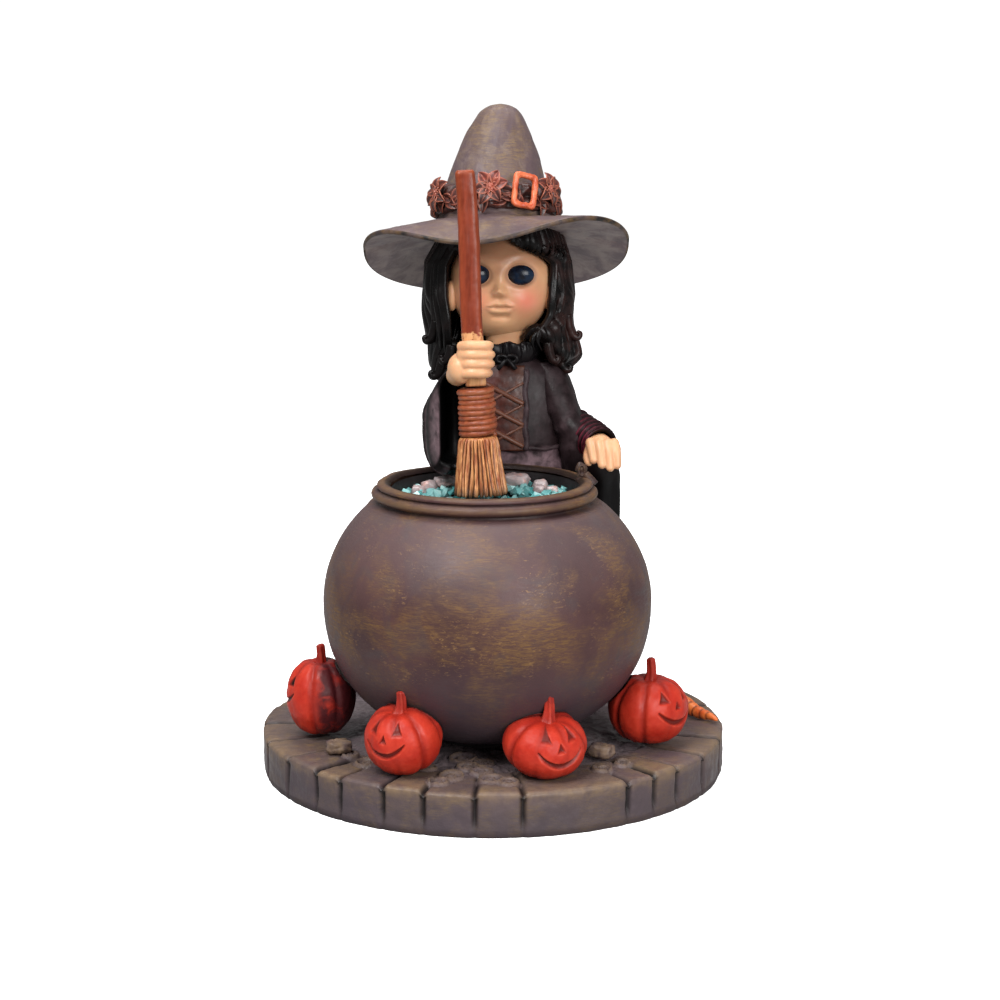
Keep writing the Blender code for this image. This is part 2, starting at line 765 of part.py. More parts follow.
def left_sleeve():
    """The bell sleeve that hangs beside the pot, with a forearm that reaches forward to the hand."""
    sections = (
        (32.0, 26.5, 68.6, 7.2, 4.6),
        (31.0, 26.5, 80.0, 8.4, 5.6),
        (30.0, 25.4, 88.0, 8.6, 8.0),
        (26.4, 25.2, 98.5, 6.8, 8.6),
        (22.4, 27.0, 105.0, 5.0, 8.0),
        (20.8, 29.2, 109.5, 4.8, 7.0),
        (20.4, 29.4, 110.8, 4.2, 5.6),
    )
    rings = [circle(x, y, z, wide, 18, deep, 2.3) for x, y, z, wide, deep in sections]
    sleeve = ring_solid("left_sleeve", rings, robe_paint())
    cuff = along("cuff", (29.6, 24.0, 95.6), (32.8, 15.4, 95.6), [(5.6, 0), (5.2, 8.4)], 14, robe_paint())
    join(sleeve, cuff)
    return cut(sleeve, robe_clearance("sleeve_robe"), pot_clearance("sleeve_pot"))


def left_hand():
    """A flat hand held over the pot, palm down, with four separate fingertips in outline."""
    start, end = Vector((33.2, 13.6, 95.0)), Vector((34.4, 5.2, 90.2))
    profile = [(0, 0), (3.8, 0.1), (5.2, 3.0), (5.2, 6.6), (3.8, 8.8), (0, 9.8)]
    return along("left_hand", start, end, profile, 14, skin())


def head():
    """Doll's head with its neck, socketed for the eyes."""
    ball = ellipsoid("head", HEAD, HEAD_SIZE, skin(), 22, 12)
    neck = turned("neck", (4.0, 30.4), [(6.6, 121.2), (6.2, 135.0)], 16, skin())
    join(ball, neck)
    for name, place in eye_places():
        cut(ball, ellipsoid(name + "_socket", place, (4.1, 2.3, 3.5), skin(), 12, 6))
    return ball


def eye_places():
    x, y, z = HEAD
    return (("eye_right", (x - 7.0, y - 13.0, z + 3.2)), ("eye_left", (x + 5.6, y - 13.3, z + 3.2)))


def eyes():
    for name, place in eye_places():
        ellipsoid(name, place, (3.8, 2.0, 3.2), eye_gloss(), 12, 6)


def hair():
    """One casting round the sides and back of the head, open over the face."""
    sections = (
        (2.9, 37.0, 111.2, 20.0, 9.5),
        (2.8, 34.5, 115.0, 22.4, 13.0),
        (2.6, 33.5, 122.0, 23.6, 15.5),
        (2.4, 33.5, 130.0, 24.0, 17.5),
        (2.1, 33.5, 140.0, 23.6, 18.5),
        (2.4, 33.5, 150.0, 21.3, 18.0),
        (2.8, 33.0, 157.0, 18.0, 16.0),
        (3.0, 32.0, 163.0, 14.0, 13.0),
    )
    rings = [circle(x, y, z, wide, 24, deep) for x, y, z, wide, deep in sections]
    mass = ring_solid("hair", rings, hair_paint())
    scalp = ellipsoid("scalp", HEAD, [s + GAP for s in HEAD_SIZE], hair_paint(), 22, 12)
    face = block("face_window", (-11.4, 0, 105), (17.6, 22.5, 158), hair_paint())
    throat = turned("throat", (4.0, 30.4), [(12.2, 105.0), (12.2, 130.0)], 24, hair_paint())
    arm_sweep = wedge("arm_sweep", 30.0, HUB_R + 0.6, 101.0, 115.5)
    cut(mass, robe_clearance("hair_robe"), scalp, face, throat, arm_sweep, hat_clearance())
    return mass


# ---------------------------------------------------------------- hat


def brim_edge(angle):
    """Height of the brim's edge: up at the front corners, dipped between them, low at the back."""
    from_dip = (angle + radians(98) + pi) % (2 * pi) - pi
    dip = BRIM_DIP * exp(-((from_dip / radians(40)) ** 2))
    across = sin(angle)
    fall = BRIM_SAG * across**0.75 if across > 0 else BRIM_RISE * across
    return BRIM_Z + BRIM_TILT * cos(angle) - fall - dip


def crown_foot(angle):
    return 161.5 - 4.5 * sin(angle)


def brim_ring(share, drop, count=36):
    """A ring part of the way from the crown's foot (0) to the edge (1), lowered by drop."""
    ring = []
    for i in range(count):
        angle = 2 * pi * i / count
        rx = 18.8 + (BRIM_X - 18.8) * share
        ry = 18.4 + (BRIM_Y - 18.4) * share
        z = crown_foot(angle) + (brim_edge(angle) - crown_foot(angle)) * share**1.15 - drop
        ring.append((HAT_X + rx * cos(angle), HAT_Y + ry * sin(angle), z))
    return ring


def crown_ring(r, z, lift=0.0, count=36):
    """A ring of the crown, which leans back a little and tilts less the higher it is."""
    part = (z - 161.5) / 36.0
    ring = []
    for i in range(count):
        angle = 2 * pi * i / count
        tilt = 4.5 * max(0.0, 1 - part * 2.2) * sin(angle)
        middle = (HAT_X + 1.2 * part * part, HAT_Y + 1.7 * part)
        ring.append((middle[0] + r * cos(angle), middle[1] + r * sin(angle), z - tilt + lift))
    return ring


def hat():
    """Crown and brim in one casting, hollow for the head."""
    top = (HAT_X + 1.2, HAT_Y + 1.7)
    rings = [[(*top, 197.9)]]
    crown = ((3.4, 197.3), (6.3, 195.4), (9.0, 190.8), (12.2, 183.5), (14.0, 178.0), (16.2, 170.0))
    rings += [crown_ring(r, z) for r, z in (*crown, (17.8, 165.0))]
    rings += [brim_ring(0.0, 0.0), brim_ring(0.5, 0.0), brim_ring(0.96, 0.0), brim_ring(1.0, 0.6)]
    rings += [brim_ring(0.99, 1.5), brim_ring(0.5, 2.0), brim_ring(0.0, 3.0)]
    inside = ((15.2, 163.0), (13.4, 171.0), (11.0, 179.0), (6.0, 186.0))
    rings += [crown_ring(r, z) for r, z in inside]
    rings += [[(*top, 188.0)]]
    return ring_solid("hat", rings, hat_paint())


def hat_clearance():
    """Everything above the underside of the brim, for trimming the hair."""
    rings = [[(HAT_X, HAT_Y, 190.0)], brim_ring(1.0, -30.0), brim_ring(1.0, 1.5 + GAP)]
    rings += [brim_ring(0.5, 2.0 + GAP), brim_ring(0.0, 3.0 + GAP)]
    rings += [crown_ring(15.2 - GAP, 163.0, -0.4), [(HAT_X, HAT_Y, 163.6)]]
    return ring_solid("hat_room", rings, hat_paint())


def hat_band():
    """A raised ribbon round the foot of the crown, with a room cut for the crown itself."""
    rings = [crown_ring(19.2, 164.6), crown_ring(18.6, 170.0), crown_ring(17.3, 173.2)]
    rings += [crown_ring(15.9, 173.2), crown_ring(16.2 + GAP, 170.0), crown_ring(17.8 + GAP, 165.0)]
    return ring_solid("hat_band", rings, trim_paint(), loop=True)


def on_band(angle, out=0.0, z=169.5):
    part = (z - 161.5) / 36.0
    tilt = 4.5 * max(0.0, 1 - part * 2.2) * sin(angle)
    r = 18.8 + out
    return Vector((HAT_X + r * cos(angle), HAT_Y + r * sin(angle), z - tilt))


def hat_buckle():
    """A rectangular frame on the front of the band."""
    angle = radians(-64)
    middle = on_band(angle, 1.4, 169.6)
    outward = Vector((cos(angle), sin(angle), 0.25)).normalized()
    side = Vector((-sin(angle), cos(angle), 0))
    up = outward.cross(side)
    rings = []
    for wide, tall, out in ((3.9, 5.2, -0.7), (3.9, 5.2, 0.7), (2.4, 3.6, 0.7), (2.4, 3.6, -0.7)):
        centre = middle + outward * out
        corners = ((-1, -1), (1, -1), (1, 1), (-1, 1))
        rings.append([tuple(centre + side * (a * wide) + up * (b * tall)) for a, b in corners])
    return ring_solid("hat_buckle", rings, buckle_paint(), loop=True)


def hat_flowers():
    """Three six-petalled flowers on the band."""
    places = (("flower_front", -96, 171.6), ("flower_right", -35, 171.8), ("flower_left", -152, 170.2))
    for name, degrees, height in places:
        angle = radians(degrees)
        middle = on_band(angle, 1.6, height)
        outward = Vector((cos(angle), sin(angle), 0.3)).normalized()
        side = Vector((-sin(angle), cos(angle), 0))
        up = outward.cross(side)
        rings = []
        for scale, out in ((1.0, -0.6), (0.96, 0.3), (0.3, 1.1)):
            ring = []
            for k in range(12):
                turn = 2 * pi * k / 12
                reach = (5.6 if k % 2 else 2.6) * scale
                ring.append(tuple(middle + (side * cos(turn) + up * sin(turn)) * reach + outward * out))
            rings.append(ring)
        ring_solid(name, rings, trim_paint())


# ---------------------------------------------------------------- stirring drive


def drive():
    """Shaft, bushes, lever and magnet of the arm, with the coil, its board and the bracket."""
    x, y = SHOULDER
    rod("stir_shaft", (x, y, 72.4), (x, y, 108.0), 1.0, 14, steel(), origin=(x, y, 72.4))
    for name, low, high, r in (("lower_bush", 73.2, 75.8, 2.15), ("upper_bush", 93.4, 96.7, 2.45)):
        profile = [(r, low), (r, high), (1.05, high), (1.05, low)]
        turned(name, SHOULDER, profile, 14, brass(), loop=True)
    lever = block("magnet_lever", (x - 2.4, y - 2.0, 77.0), (x + 11.0, y + 2.0, 79.0), dark_plastic())
    cut(lever, rod("lever_bore", (x, y, 70), (x, y, 90), 1.05, 14, steel()))
    magnet_x = x + 9.0
    rod("drive_magnet", (magnet_x, y - 2.0, 81.9), (magnet_x, y + 2.0, 81.9), 2.5, 14, steel())
    coil_profile = [(4.6, 0.0), (4.6, 2.6), (1.6, 2.6), (1.6, 0.0)]
    along("drive_coil", (magnet_x, 34.2, 81.9), (magnet_x, 50, 81.9), coil_profile, 18, copper(), loop=True)
    block("drive_board", (-7.8, 37.1, 76.4), (11.0, 38.1, 91.0), board())
    shelf = block("drive_bracket", (-15.0, 27.8, 73.0), (-5.0, 34.2, 76.0), dark_plastic())
    link = block("bracket_link", (-8.1, 33.0, 73.0), (-4.0, 40.4, 76.0), dark_plastic())
    back = block("bracket_back", (-8.1, 38.4, 73.0), (12.0, 40.4, 92.4), dark_plastic())
    notch = block("lead_notch", (-0.5, 38.0, 70.0), (6.5, 43.0, 80.0), dark_plastic())
    join(shelf, link, back)
    seat = turned("bush_seat", SHOULDER, [(2.45, 70.0), (2.45, 80.0)], 14, dark_plastic())
    return cut(shelf, notch, seat)


def build():
    clear_scene()
    plinth()
    cover()
    screws()
    battery_door()
    cells()
    circuit()
    cauldron()
    rim_lug()
    potion()
    for settings in PUMPKINS:
        pumpkin(*settings)
    carrot()
    ground_pieces()
    robe()
    bodice()
    collar()
    left_sleeve()
    left_hand()
    right_sleeve()
    right_hand()
    broom()
    head()
    eyes()
    hair()
    hat()
    hat_band()
    hat_buckle()
    hat_flowers()
    drive()
    lead("lead_red", -1.2, wire_coat("wire_red", (0.5, 0.02, 0.02)))
    lead("lead_black", 1.2, wire_coat("wire_black", (0.02, 0.02, 0.02)))


build()
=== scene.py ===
"""Looks for the witch and cauldron figure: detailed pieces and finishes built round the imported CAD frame."""

import random
from math import atan2, cos, exp, hypot, pi, radians, sin, sqrt

import bmesh
import bpy
from mathutils import Matrix, Vector, noise


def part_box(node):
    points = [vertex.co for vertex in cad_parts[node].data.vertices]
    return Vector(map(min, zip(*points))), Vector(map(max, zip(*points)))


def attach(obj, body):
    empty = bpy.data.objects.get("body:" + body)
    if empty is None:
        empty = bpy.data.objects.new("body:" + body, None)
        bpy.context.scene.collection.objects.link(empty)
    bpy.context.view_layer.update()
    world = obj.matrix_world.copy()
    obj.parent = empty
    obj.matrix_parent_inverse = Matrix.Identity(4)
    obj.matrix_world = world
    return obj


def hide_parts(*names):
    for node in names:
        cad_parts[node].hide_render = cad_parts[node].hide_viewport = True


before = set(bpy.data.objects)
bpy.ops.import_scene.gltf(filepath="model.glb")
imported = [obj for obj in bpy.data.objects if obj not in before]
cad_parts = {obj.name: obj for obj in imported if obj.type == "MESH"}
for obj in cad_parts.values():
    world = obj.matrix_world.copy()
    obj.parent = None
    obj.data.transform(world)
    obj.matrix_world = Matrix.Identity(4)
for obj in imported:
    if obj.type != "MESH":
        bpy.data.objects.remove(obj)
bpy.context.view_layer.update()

MM = 0.001

# Sizes in millimetres, the same as the CAD part's
BASE_R, BASE_H, HOLLOW_R, ROOF_Z = 70.0, 13.0, 59.6, 9.0
POT_X, POT_Y, POT_Z, POT_R, POT_UP, POT_DOWN = -1.9, -15.5, 54.4, 48.9, 40.6, 41.0
POT_LOW, POT_TOP = 13.9, 83.6  # where the body meets the ground and the rim
SHOULDER = (-12.0, 30.0)
HAT_X, HAT_Y, BRIM_X, BRIM_Y, BRIM_Z = 0.9, 33.0, 41.0, 35.5, 156.0
BRIM_DROP, BRIM_SAG, BRIM_DIP, BRIM_TILT = 15.8, 17.3, 12.6, 0.9
CROWN_Z, CROWN_TALL = 161.5, 36.0
BROOM_TOP = Vector((-7.9, -13.4, 179.5))
BROOM_FOOT = Vector((-3.4, -17.5, 86.4))
BROOM_WAY = (BROOM_FOOT - BROOM_TOP).normalized()
FACE = Vector((2.3, 31.0, 144.0))
UP = Vector((0, 0, 1))

# Camera and world
CAMERA_AT, CAMERA_DOWN = (0.0021, -0.6161, 0.1974), 10.66  # metres, degrees
LENS, SENSOR = 75.34, 36.0
WORLD_LIGHT, WORLD_SEEN = 0.3, 1.05  # strength as light, and as the backdrop

# Directions of the joints between setts, in degrees from the front, positive to the right
SETT_LINES = (-174, -160, -146, -131, -117, -103, -88, -73, -58, -46, -38, -26, -16, -4)
SETT_LINES += (7, 33, 41, 49, 61, 75, 90, 105, 120, 134, 148, 161, 174)

# Pumpkins: name, x, y, radius, half height, lean in degrees, direction of the face, stem length
PUMPKINS = (
    ("pumpkin_left", -51.0, -15.8, 10.3, 12.0, 2.0, -84.0, 6.8),
    ("pumpkin_front_left", -25.0, -51.2, 11.0, 9.9, 14.0, -30.0, 6.8),
    ("pumpkin_front_right", 14.6, -53.0, 11.8, 8.9, 17.0, 24.0, 9.4),
    ("pumpkin_right", 45.6, -23.4, 11.8, 10.3, 2.0, 46.0, 7.6),
)


# ---------------------------------------------------------------- small helpers


def smooth(t):
    t = max(0.0, min(1.0, t))
    return t * t * (3 - 2 * t)


def bell(d):
    return exp(-min(d * d, 60.0))


def rumble(x, y, z, size, octaves=3):
    """Smooth noise from about -1 to 1 with features of this size in millimetres."""
    return noise.fractal(Vector((x, y, z)) / size, 0.7, 2.1, octaves)


def toward(side, across, a):
    """The direction at this angle from side to across."""
    return side * cos(a) + across * sin(a)


def steps(count, low=0.0, high=1.0):
    """Numbers from low to high in this many equal steps."""
    return [low + (high - low) * i / count for i in range(count + 1)]


def circle(count):
    return [2 * pi * k / count for k in range(count)]


def squircle(a, power):
    """Cosine and sine of the angle, pushed out towards a square."""
    c, s = cos(a), sin(a)
    m = (abs(c) ** power + abs(s) ** power) ** (-1 / power)
    return c * m, s * m


def through(stops, count):
    """Tuples along a smooth curve through the stops, with this many steps between each two."""
    found = []
    last = len(stops) - 1
    for i in range(last):
        four = stops[max(i - 1, 0)], stops[i], stops[i + 1], stops[min(i + 2, last)]
        for k in range(count):
            t = k / count
            weights = (
                (-t + 2 * t * t - t**3) / 2,
                (2 - 5 * t * t + 3 * t**3) / 2,
                (t + 4 * t * t - 3 * t**3) / 2,
                (t**3 - t * t) / 2,
            )
            found.append(tuple(sum(w * v for w, v in zip(weights, values)) for values in zip(*four)))
    found.append(tuple(stops[-1]))
    return found


def lathe(centre, profile, count):
    x, y = centre
    return [[(x + r * cos(a), y + r * sin(a), z) for a in circle(count)] for r, z in profile]


def tube(path, sizes, count, squash=1.0, flat=None):
    """Rings round a path. sizes gives the radius at each point; flat is the direction that squash thins."""
    rings = []
    side = None
    if not isinstance(sizes, list):
        sizes = [sizes] * len(path)
    for i, here in enumerate(path):
        way = (path[min(i + 1, len(path) - 1)] - path[max(i - 1, 0)]).normalized()
        if side is None:
            guide = flat or (UP if abs(way.z) < 0.9 else Vector((1, 0, 0)))
            side = guide - way * guide.dot(way)
        side = (side - way * side.dot(way)).normalized()
        across = way.cross(side)
        rings.append([here + (side * (cos(a) * squash) + across * sin(a)) * sizes[i] for a in circle(count)])
    return rings


def fluted(rings, path, number, depth, twist):
    """The rings of a tube with grooves along it that turn slowly."""
    count = len(rings[0])
    for i, ring in enumerate(rings):
        for k, a in enumerate(circle(count)):
            ring[k] = path[i] + (ring[k] - path[i]) * (1 + depth * cos(number * a + i * twist))
    return rings


def tilts(levels):
    """Heights as angles, from the bottom of a ball to its top."""
    return [pi * i / levels - pi / 2 for i in range(levels + 1)]


def middle_of(name):
    low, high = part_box(name)
    return (low + high) / 2 / MM


def linked(name, mesh):
    obj = bpy.data.objects.new(name, mesh)
    bpy.context.scene.collection.objects.link(obj)
    return obj


def mesh_of(name, points, faces):
    mesh = bpy.data.meshes.new(name)
    mesh.from_pydata([Vector(p) * MM for p in points], [], faces)
    return mesh


def hardened(obj):
    """Replaces the object's mesh with what its modifiers make of it."""
    graph = bpy.context.evaluated_depsgraph_get()
    finished = bpy.data.meshes.new_from_object(obj.evaluated_get(graph))
    obj.modifiers.clear()
    obj.data = finished
    return finished


class Shape:
    """Points, faces, material numbers and painted values that become one mesh object."""

    def __init__(self):
        self.points, self.faces, self.looks, self.values = [], [], [], {}

    def add(self, rings, closed=True, caps=True, look=0, **paint):
        """Joins rings of points. Every value in paint is one number or a list with one for each point."""
        start = len(self.points)
        count = len(rings[0])
        for ring in rings:
            self.points.extend(tuple(p) for p in ring)
        for low in range(start, start + (len(rings) - 1) * count, count):
            for k in range(count if closed else count - 1):
                n = (k + 1) % count
                self.faces.append((low + k, low + n, low + count + n, low + count + k))
        if caps:
            self.faces.append(tuple(start + k for k in reversed(range(count))))
            self.faces.append(tuple(len(self.points) - count + k for k in range(count)))
        self.looks += [look] * (len(self.faces) - len(self.looks))
        self.paint(start, **paint)

    def sheet(self, stops, across, spot, **settings):
        """Joins rows of points. spot(stop, u) gives one place and a dictionary of what is painted there."""
        rows = [[spot(stop, u) for u in across] for stop in stops]
        paint = {key: [values[key] for row in rows for _, values in row] for key in rows[0][0][1]}
        self.add([[place for place, _ in row] for row in rows], **settings, **paint)

    def paint(self, start, **values):
        for key, value in values.items():
            if not isinstance(value, list):
                value = [value] * (len(self.points) - start)
            self.values.setdefault(key, []).append((start, value))

    def done(self, name, looks, slot, replaces=None, body="figure", rough=(), **settings):
        """rough is pairs of size and depth in millimetres. Other settings: subdivide, thick and flat."""
        mesh = mesh_of(name, self.points, self.faces)
        for look in looks if isinstance(looks, tuple) else (looks,):
            mesh.materials.append(look)
        mesh.polygons.foreach_set("material_index", self.looks)
        for key, parts in self.values.items():
            layer = mesh.attributes.new(key, "FLOAT", "POINT")
            for start, values in parts:
                for i, value in enumerate(values):
                    layer.data[start + i].value = value
        work = bmesh.new()
        work.from_mesh(mesh)
        bmesh.ops.remove_doubles(work, verts=work.verts, dist=1e-6)
        bmesh.ops.recalc_face_normals(work, faces=work.faces)
        work.normal_update()
        for size, amount in rough:
            for vert in work.verts:
                vert.co += vert.normal * (rumble(*(vert.co / MM), size) * amount * MM)
        work.to_mesh(mesh)
        work.free()
        if not settings.get("flat"):
            mesh.shade_smooth()
        obj = linked(name, mesh)
        if "thick" in settings:
            skin = obj.modifiers.new("thickness", "SOLIDIFY")
            skin.thickness = settings["thick"] * MM
            skin.offset = 0.0
        if "subdivide" in settings:
            finer = obj.modifiers.new("finer", "SUBSURF")
            finer.levels = finer.render_levels = settings["subdivide"]
        return settle(obj, body, replaces)


def settle(obj, body, replaces=None):
    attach(obj, body)
    if replaces:
        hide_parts(replaces)
    return obj


def fused(name, balls, rounds, look, body, replaces):
    """Ellipsoids grown together into one smooth skin. Each ball is its middle and half sizes."""
    work = bmesh.new()
    for middle, size in balls:
        place = Matrix.LocRotScale(Vector(middle) * MM, None, Vector(size) * MM)
        bmesh.ops.create_icosphere(work, subdivisions=3, radius=1.0, matrix=place)
    mesh = bpy.data.meshes.new(name)
    work.to_mesh(mesh)
    work.free()
    obj = linked(name, mesh)
    grow = obj.modifiers.new("fuse", "REMESH")
    grow.mode = "VOXEL"
    grow.voxel_size = 0.26 * MM
    relax = obj.modifiers.new("relax", "SMOOTH")
    relax.iterations = rounds
    finished = hardened(obj)
    finished.materials.clear()
    finished.materials.append(look)
    finished.shade_smooth()
    settle(obj, body, replaces)


def beads(points, sizes, count=5):
    """Balls close together along a smooth curve, for a finger or an arm."""
    stops = [(*p, s) for p, s in zip(points, sizes)]
    return [((x, y, z), (s, s, s)) for x, y, z, s in through(stops, count)]


# ---------------------------------------------------------------- materials


class Look:
    """A Principled material with short calls for the nodes behind it. Its base colour grows coat by coat."""

    def __init__(self, name, roughness=0.5, metallic=0.0, **sockets):
        self.material = bpy.data.materials.new(name)
        self.material.use_nodes = True
        self.tree = self.material.node_tree
        self.inputs = self.tree.nodes["Principled BSDF"].inputs
        self.inputs["Roughness"].default_value = roughness
        self.inputs["Metallic"].default_value = metallic
        for key, value in sockets.items():
            self.inputs[key.replace("_", " ")].default_value = value
        self.place = self.add("ShaderNodeTexCoord").outputs["Object"]

    def add(self, kind, **settings):
        node = self.tree.nodes.new(kind)
        for key, value in settings.items():
            setattr(node, key, value)
        return node

    def put(self, socket, value):
        """The value is a socket, the name of a painted attribute, a colour or a number."""
        if isinstance(value, str):
            value = self.add("ShaderNodeAttribute", attribute_name=value).outputs["Fac"]
        if isinstance(value, bpy.types.NodeSocket):
            self.tree.links.new(value, socket)
        elif isinstance(value, tuple):
            socket.default_value = (*value, 1.0)
        else:
            socket.default_value = value

    def moved(self, stretch, turn=(0.0, 0.0, 0.0)):
        node = self.add("ShaderNodeMapping")
        node.inputs["Scale"].default_value = stretch
        node.inputs["Rotation"].default_value = [radians(a) for a in turn]
        self.put(node.inputs["Vector"], self.place)
        return node.outputs[0]

    def noise(self, size, detail=4.0, rough=0.55, warp=0.0, place=None):
        """Noise from 0 to 1 with features of this size in millimetres."""
        node = self.add("ShaderNodeTexNoise")
        self.put(node.inputs["Vector"], place or self.place)
        settings = {"Scale": 1000.0 / size, "Detail": detail, "Roughness": rough, "Distortion": warp}
        for key, value in settings.items():
            node.inputs[key].default_value = value
        return node.outputs[0]

    def axis(self, which):
        node = self.add("ShaderNodeSeparateXYZ")
        self.put(node.inputs[0], self.place)
        return node.outputs[which]

    def span(self, value, low, high, start=0.0, end=1.0):
        node = self.add("ShaderNodeMapRange")
        self.put(node.inputs["Value"], value)
        for key, number in (("From Min", low), ("From Max", high), ("To Min", start), ("To Max", end)):
            node.inputs[key].default_value = number
        return node.outputs[0]

    def blotch(self, low, high, size, *settings, start=0.0, end=1.0):
        """Noise spread between two levels. The settings after the size are those of noise."""
        return self.span(self.noise(size, *settings), low, high, start, end)

    def maths(self, operation, a, b):
        node = self.add("ShaderNodeMath", operation=operation)
        self.put(node.inputs[0], a)
        self.put(node.inputs[1], b)
        return node.outputs[0]

    def times(self, a, b):
        return self.maths("MULTIPLY", a, b)

    def mix(self, amount, a, b):
        node = self.add("ShaderNodeMix", data_type="RGBA")
        for number, value in ((0, amount), (6, a), (7, b)):
            self.put(node.inputs[number], value)
        return node.outputs[2]

    def edges(self, low, high):
        """How raised the surface is, from its own curvature."""
        return self.span(self.add("ShaderNodeNewGeometry").outputs["Pointiness"], low, high)

    def coat(self, *layers):
        """Lays each colour over the base in turn, by its amount."""
        for amount, colour in layers:
            self.base = self.mix(amount, self.base, colour)
        return self

    def start(self, amount, a, b):
        self.base = self.mix(amount, a, b)
        return self

    def done(self, gloss=None, bump=None):
        """Gloss is a socket, or low, high and noise. Bump is strength and depth, then a socket or noise."""
        self.put(self.inputs["Base Color"], self.base)
        if isinstance(gloss, tuple):
            low, high, *settings = gloss
            gloss = self.span(self.noise(*settings), 0.3, 0.7, low, high)
        if gloss:
            self.put(self.inputs["Roughness"], gloss)
        if bump:
            node = self.add("ShaderNodeBump")
            node.inputs["Strength"].default_value = bump[0]
            node.inputs["Distance"].default_value = bump[1] * MM
            grain = bump[2] if isinstance(bump[2], bpy.types.NodeSocket) else self.noise(*bump[2:])
            self.put(node.inputs["Height"], grain)
            self.put(self.inputs["Normal"], node.outputs[0])
        return self.material


def brushed(name, colours, roughness, cover, size, turn=35.0):
    """Cast resin painted dark, with lighter paint dragged over it in soft patches and fine strokes."""
    look = Look(name, roughness, Specular_IOR_Level=0.3)
    deep, middle, stroke = colours
    look.start(look.blotch(0.35, 0.68, 22.0, 3.0), deep, middle)
    patch = look.blotch(0.62 - 0.2 * cover, 0.70 - 0.1 * cover, size, 4.0, 0.6, 0.5)
    first = look.noise(1.6, 5.0, 0.6, 0.9, look.moved((0.5, 0.5, 3.2), (0, turn, 15)))
    second = look.noise(1.4, 5.0, 0.6, 0.9, look.moved((0.5, 0.5, 3.2), (0, turn - 75, 15)))
    streak = look.maths("MAXIMUM", look.span(first, 0.46, 0.64), look.span(second, 0.50, 0.66))
    look.coat((look.times(patch, look.span(streak, 0.0, 1.0, 0.18, 0.95)), stroke))
    return look, first


def stone_look():
    colours = ((0.072, 0.052, 0.058), (0.112, 0.078, 0.080), (0.17, 0.112, 0.062))
    look, _ = brushed("stone_look", colours, 0.5, 0.8, 10.0)
    worn = look.times("wear", look.blotch(0.32, 0.62, 3.0, 5.0))
    look.coat(
        (look.times(worn, 0.75), (0.25, 0.165, 0.095)),
        (look.times("tone", 0.5), (0.150, 0.100, 0.060)),
        # Painted shade: the plinth's sides darken from the top edge downwards, standing in for less light on
        # faces turned away from the light above.
        (look.span(look.axis("Z"), 0.0125, 0.006, 0.0, 0.55), (0.052, 0.040, 0.050)),
        ("soil", (0.120, 0.094, 0.102)),
        ("gap", (0.008, 0.006, 0.006)),
    )
    return look.done((0.34, 0.56, 5.0), (0.35, 0.5, 1.3, 6.0, 0.65))


def pot_look():
    colours = ((0.050, 0.022, 0.023), (0.082, 0.036, 0.034), (0.150, 0.076, 0.026))
    look, streak = brushed("pot_look", colours, 0.45, 0.9, 17.0)
    fleck = look.noise(1.6, 6.0, 0.7, 0.8, look.moved((1.0, 1.0, 2.6), (0, -30, 0)))
    second = look.times(look.span(fleck, 0.56, 0.66), look.blotch(0.48, 0.62, 15.0, 3.0, 0.6, 0.6))
    look.coat(
        (look.times(second, 0.65), (0.30, 0.165, 0.06)),
        (look.blotch(0.52, 0.7, 11.0, 3.0, 0.5, 0.8, end=0.5), (0.052, 0.040, 0.042)),
    )
    look.start(look.span(look.axis("Z"), 0.016, 0.048), (0.060, 0.047, 0.062), look.base)
    # Painted highlight: the upper shoulder, from 60 mm up to just under the rim, is made paler and greyer,
    # standing in for light falling on it from above.
    top_sheen = look.times(look.span(look.axis("Z"), 0.060, 0.078), look.span(look.axis("Z"), 0.0845, 0.083))
    look.coat(
        (look.times(top_sheen, 0.3), (0.150, 0.115, 0.118)),
        (look.times("wear", 0.75), (0.15, 0.088, 0.042)),
        # Near black where gap is painted: painted shade in the rim's grooves, at the foot and inside the rim;
        # the lug gets half of it all over.
        ("gap", (0.010, 0.007, 0.007)),
    )
    return look.done(look.span(streak, 0.3, 0.7, 0.40, 0.58), (0.16, 0.5, 2.4, 6.0, 0.6, 0.5))


def inner_look():
    look = Look("pot_inside", 0.5)
    look.start(look.noise(6.0), (0.006, 0.005, 0.006), (0.022, 0.017, 0.018))
    return look.done((0.35, 0.6, 3.0), (0.2, 0.4, 2.0, 5.0))


def pumpkin_look():
    look = Look("pumpkin_look", 0.45, Specular_IOR_Level=0.24)
    rub = look.times(look.edges(0.50, 0.54), look.blotch(0.4, 0.6, 2.0))
    look.start(look.blotch(0.35, 0.65, 6.0, 3.0), (0.40, 0.018, 0.008), (0.50, 0.034, 0.016)).coat(
        (look.times(rub, 0.4), (0.62, 0.08, 0.04)),
        (look.times("rib", 0.65), (0.20, 0.010, 0.006)),
        # Painted shade in patches: the side towards the pot and the bottom near the ground are darkened; the
        # stem gets a little of this colour as its own.
        (look.times("wash", look.blotch(0.22, 0.48, 5.0, 5.0, 0.6, 0.6)), (0.070, 0.010, 0.012)),
        ("carve", (0.13, 0.009, 0.005)),
        # Near black: painted shade where the pumpkin meets the pot, and the carved face of the left pumpkin.
        ("black", (0.012, 0.007, 0.006)),
    )
    return look.done((0.36, 0.52, 2.5), (0.16, 0.4, 1.6, 5.0))


def carrot_look():
    look = Look("carrot_look", 0.4)
    look.start(look.blotch(0.35, 0.65, 4.0), (0.62, 0.10, 0.02), (0.80, 0.21, 0.05))
    look.coat(("gap", (0.10, 0.012, 0.004)))
    return look.done(bump=(0.2, 0.3, 1.0))


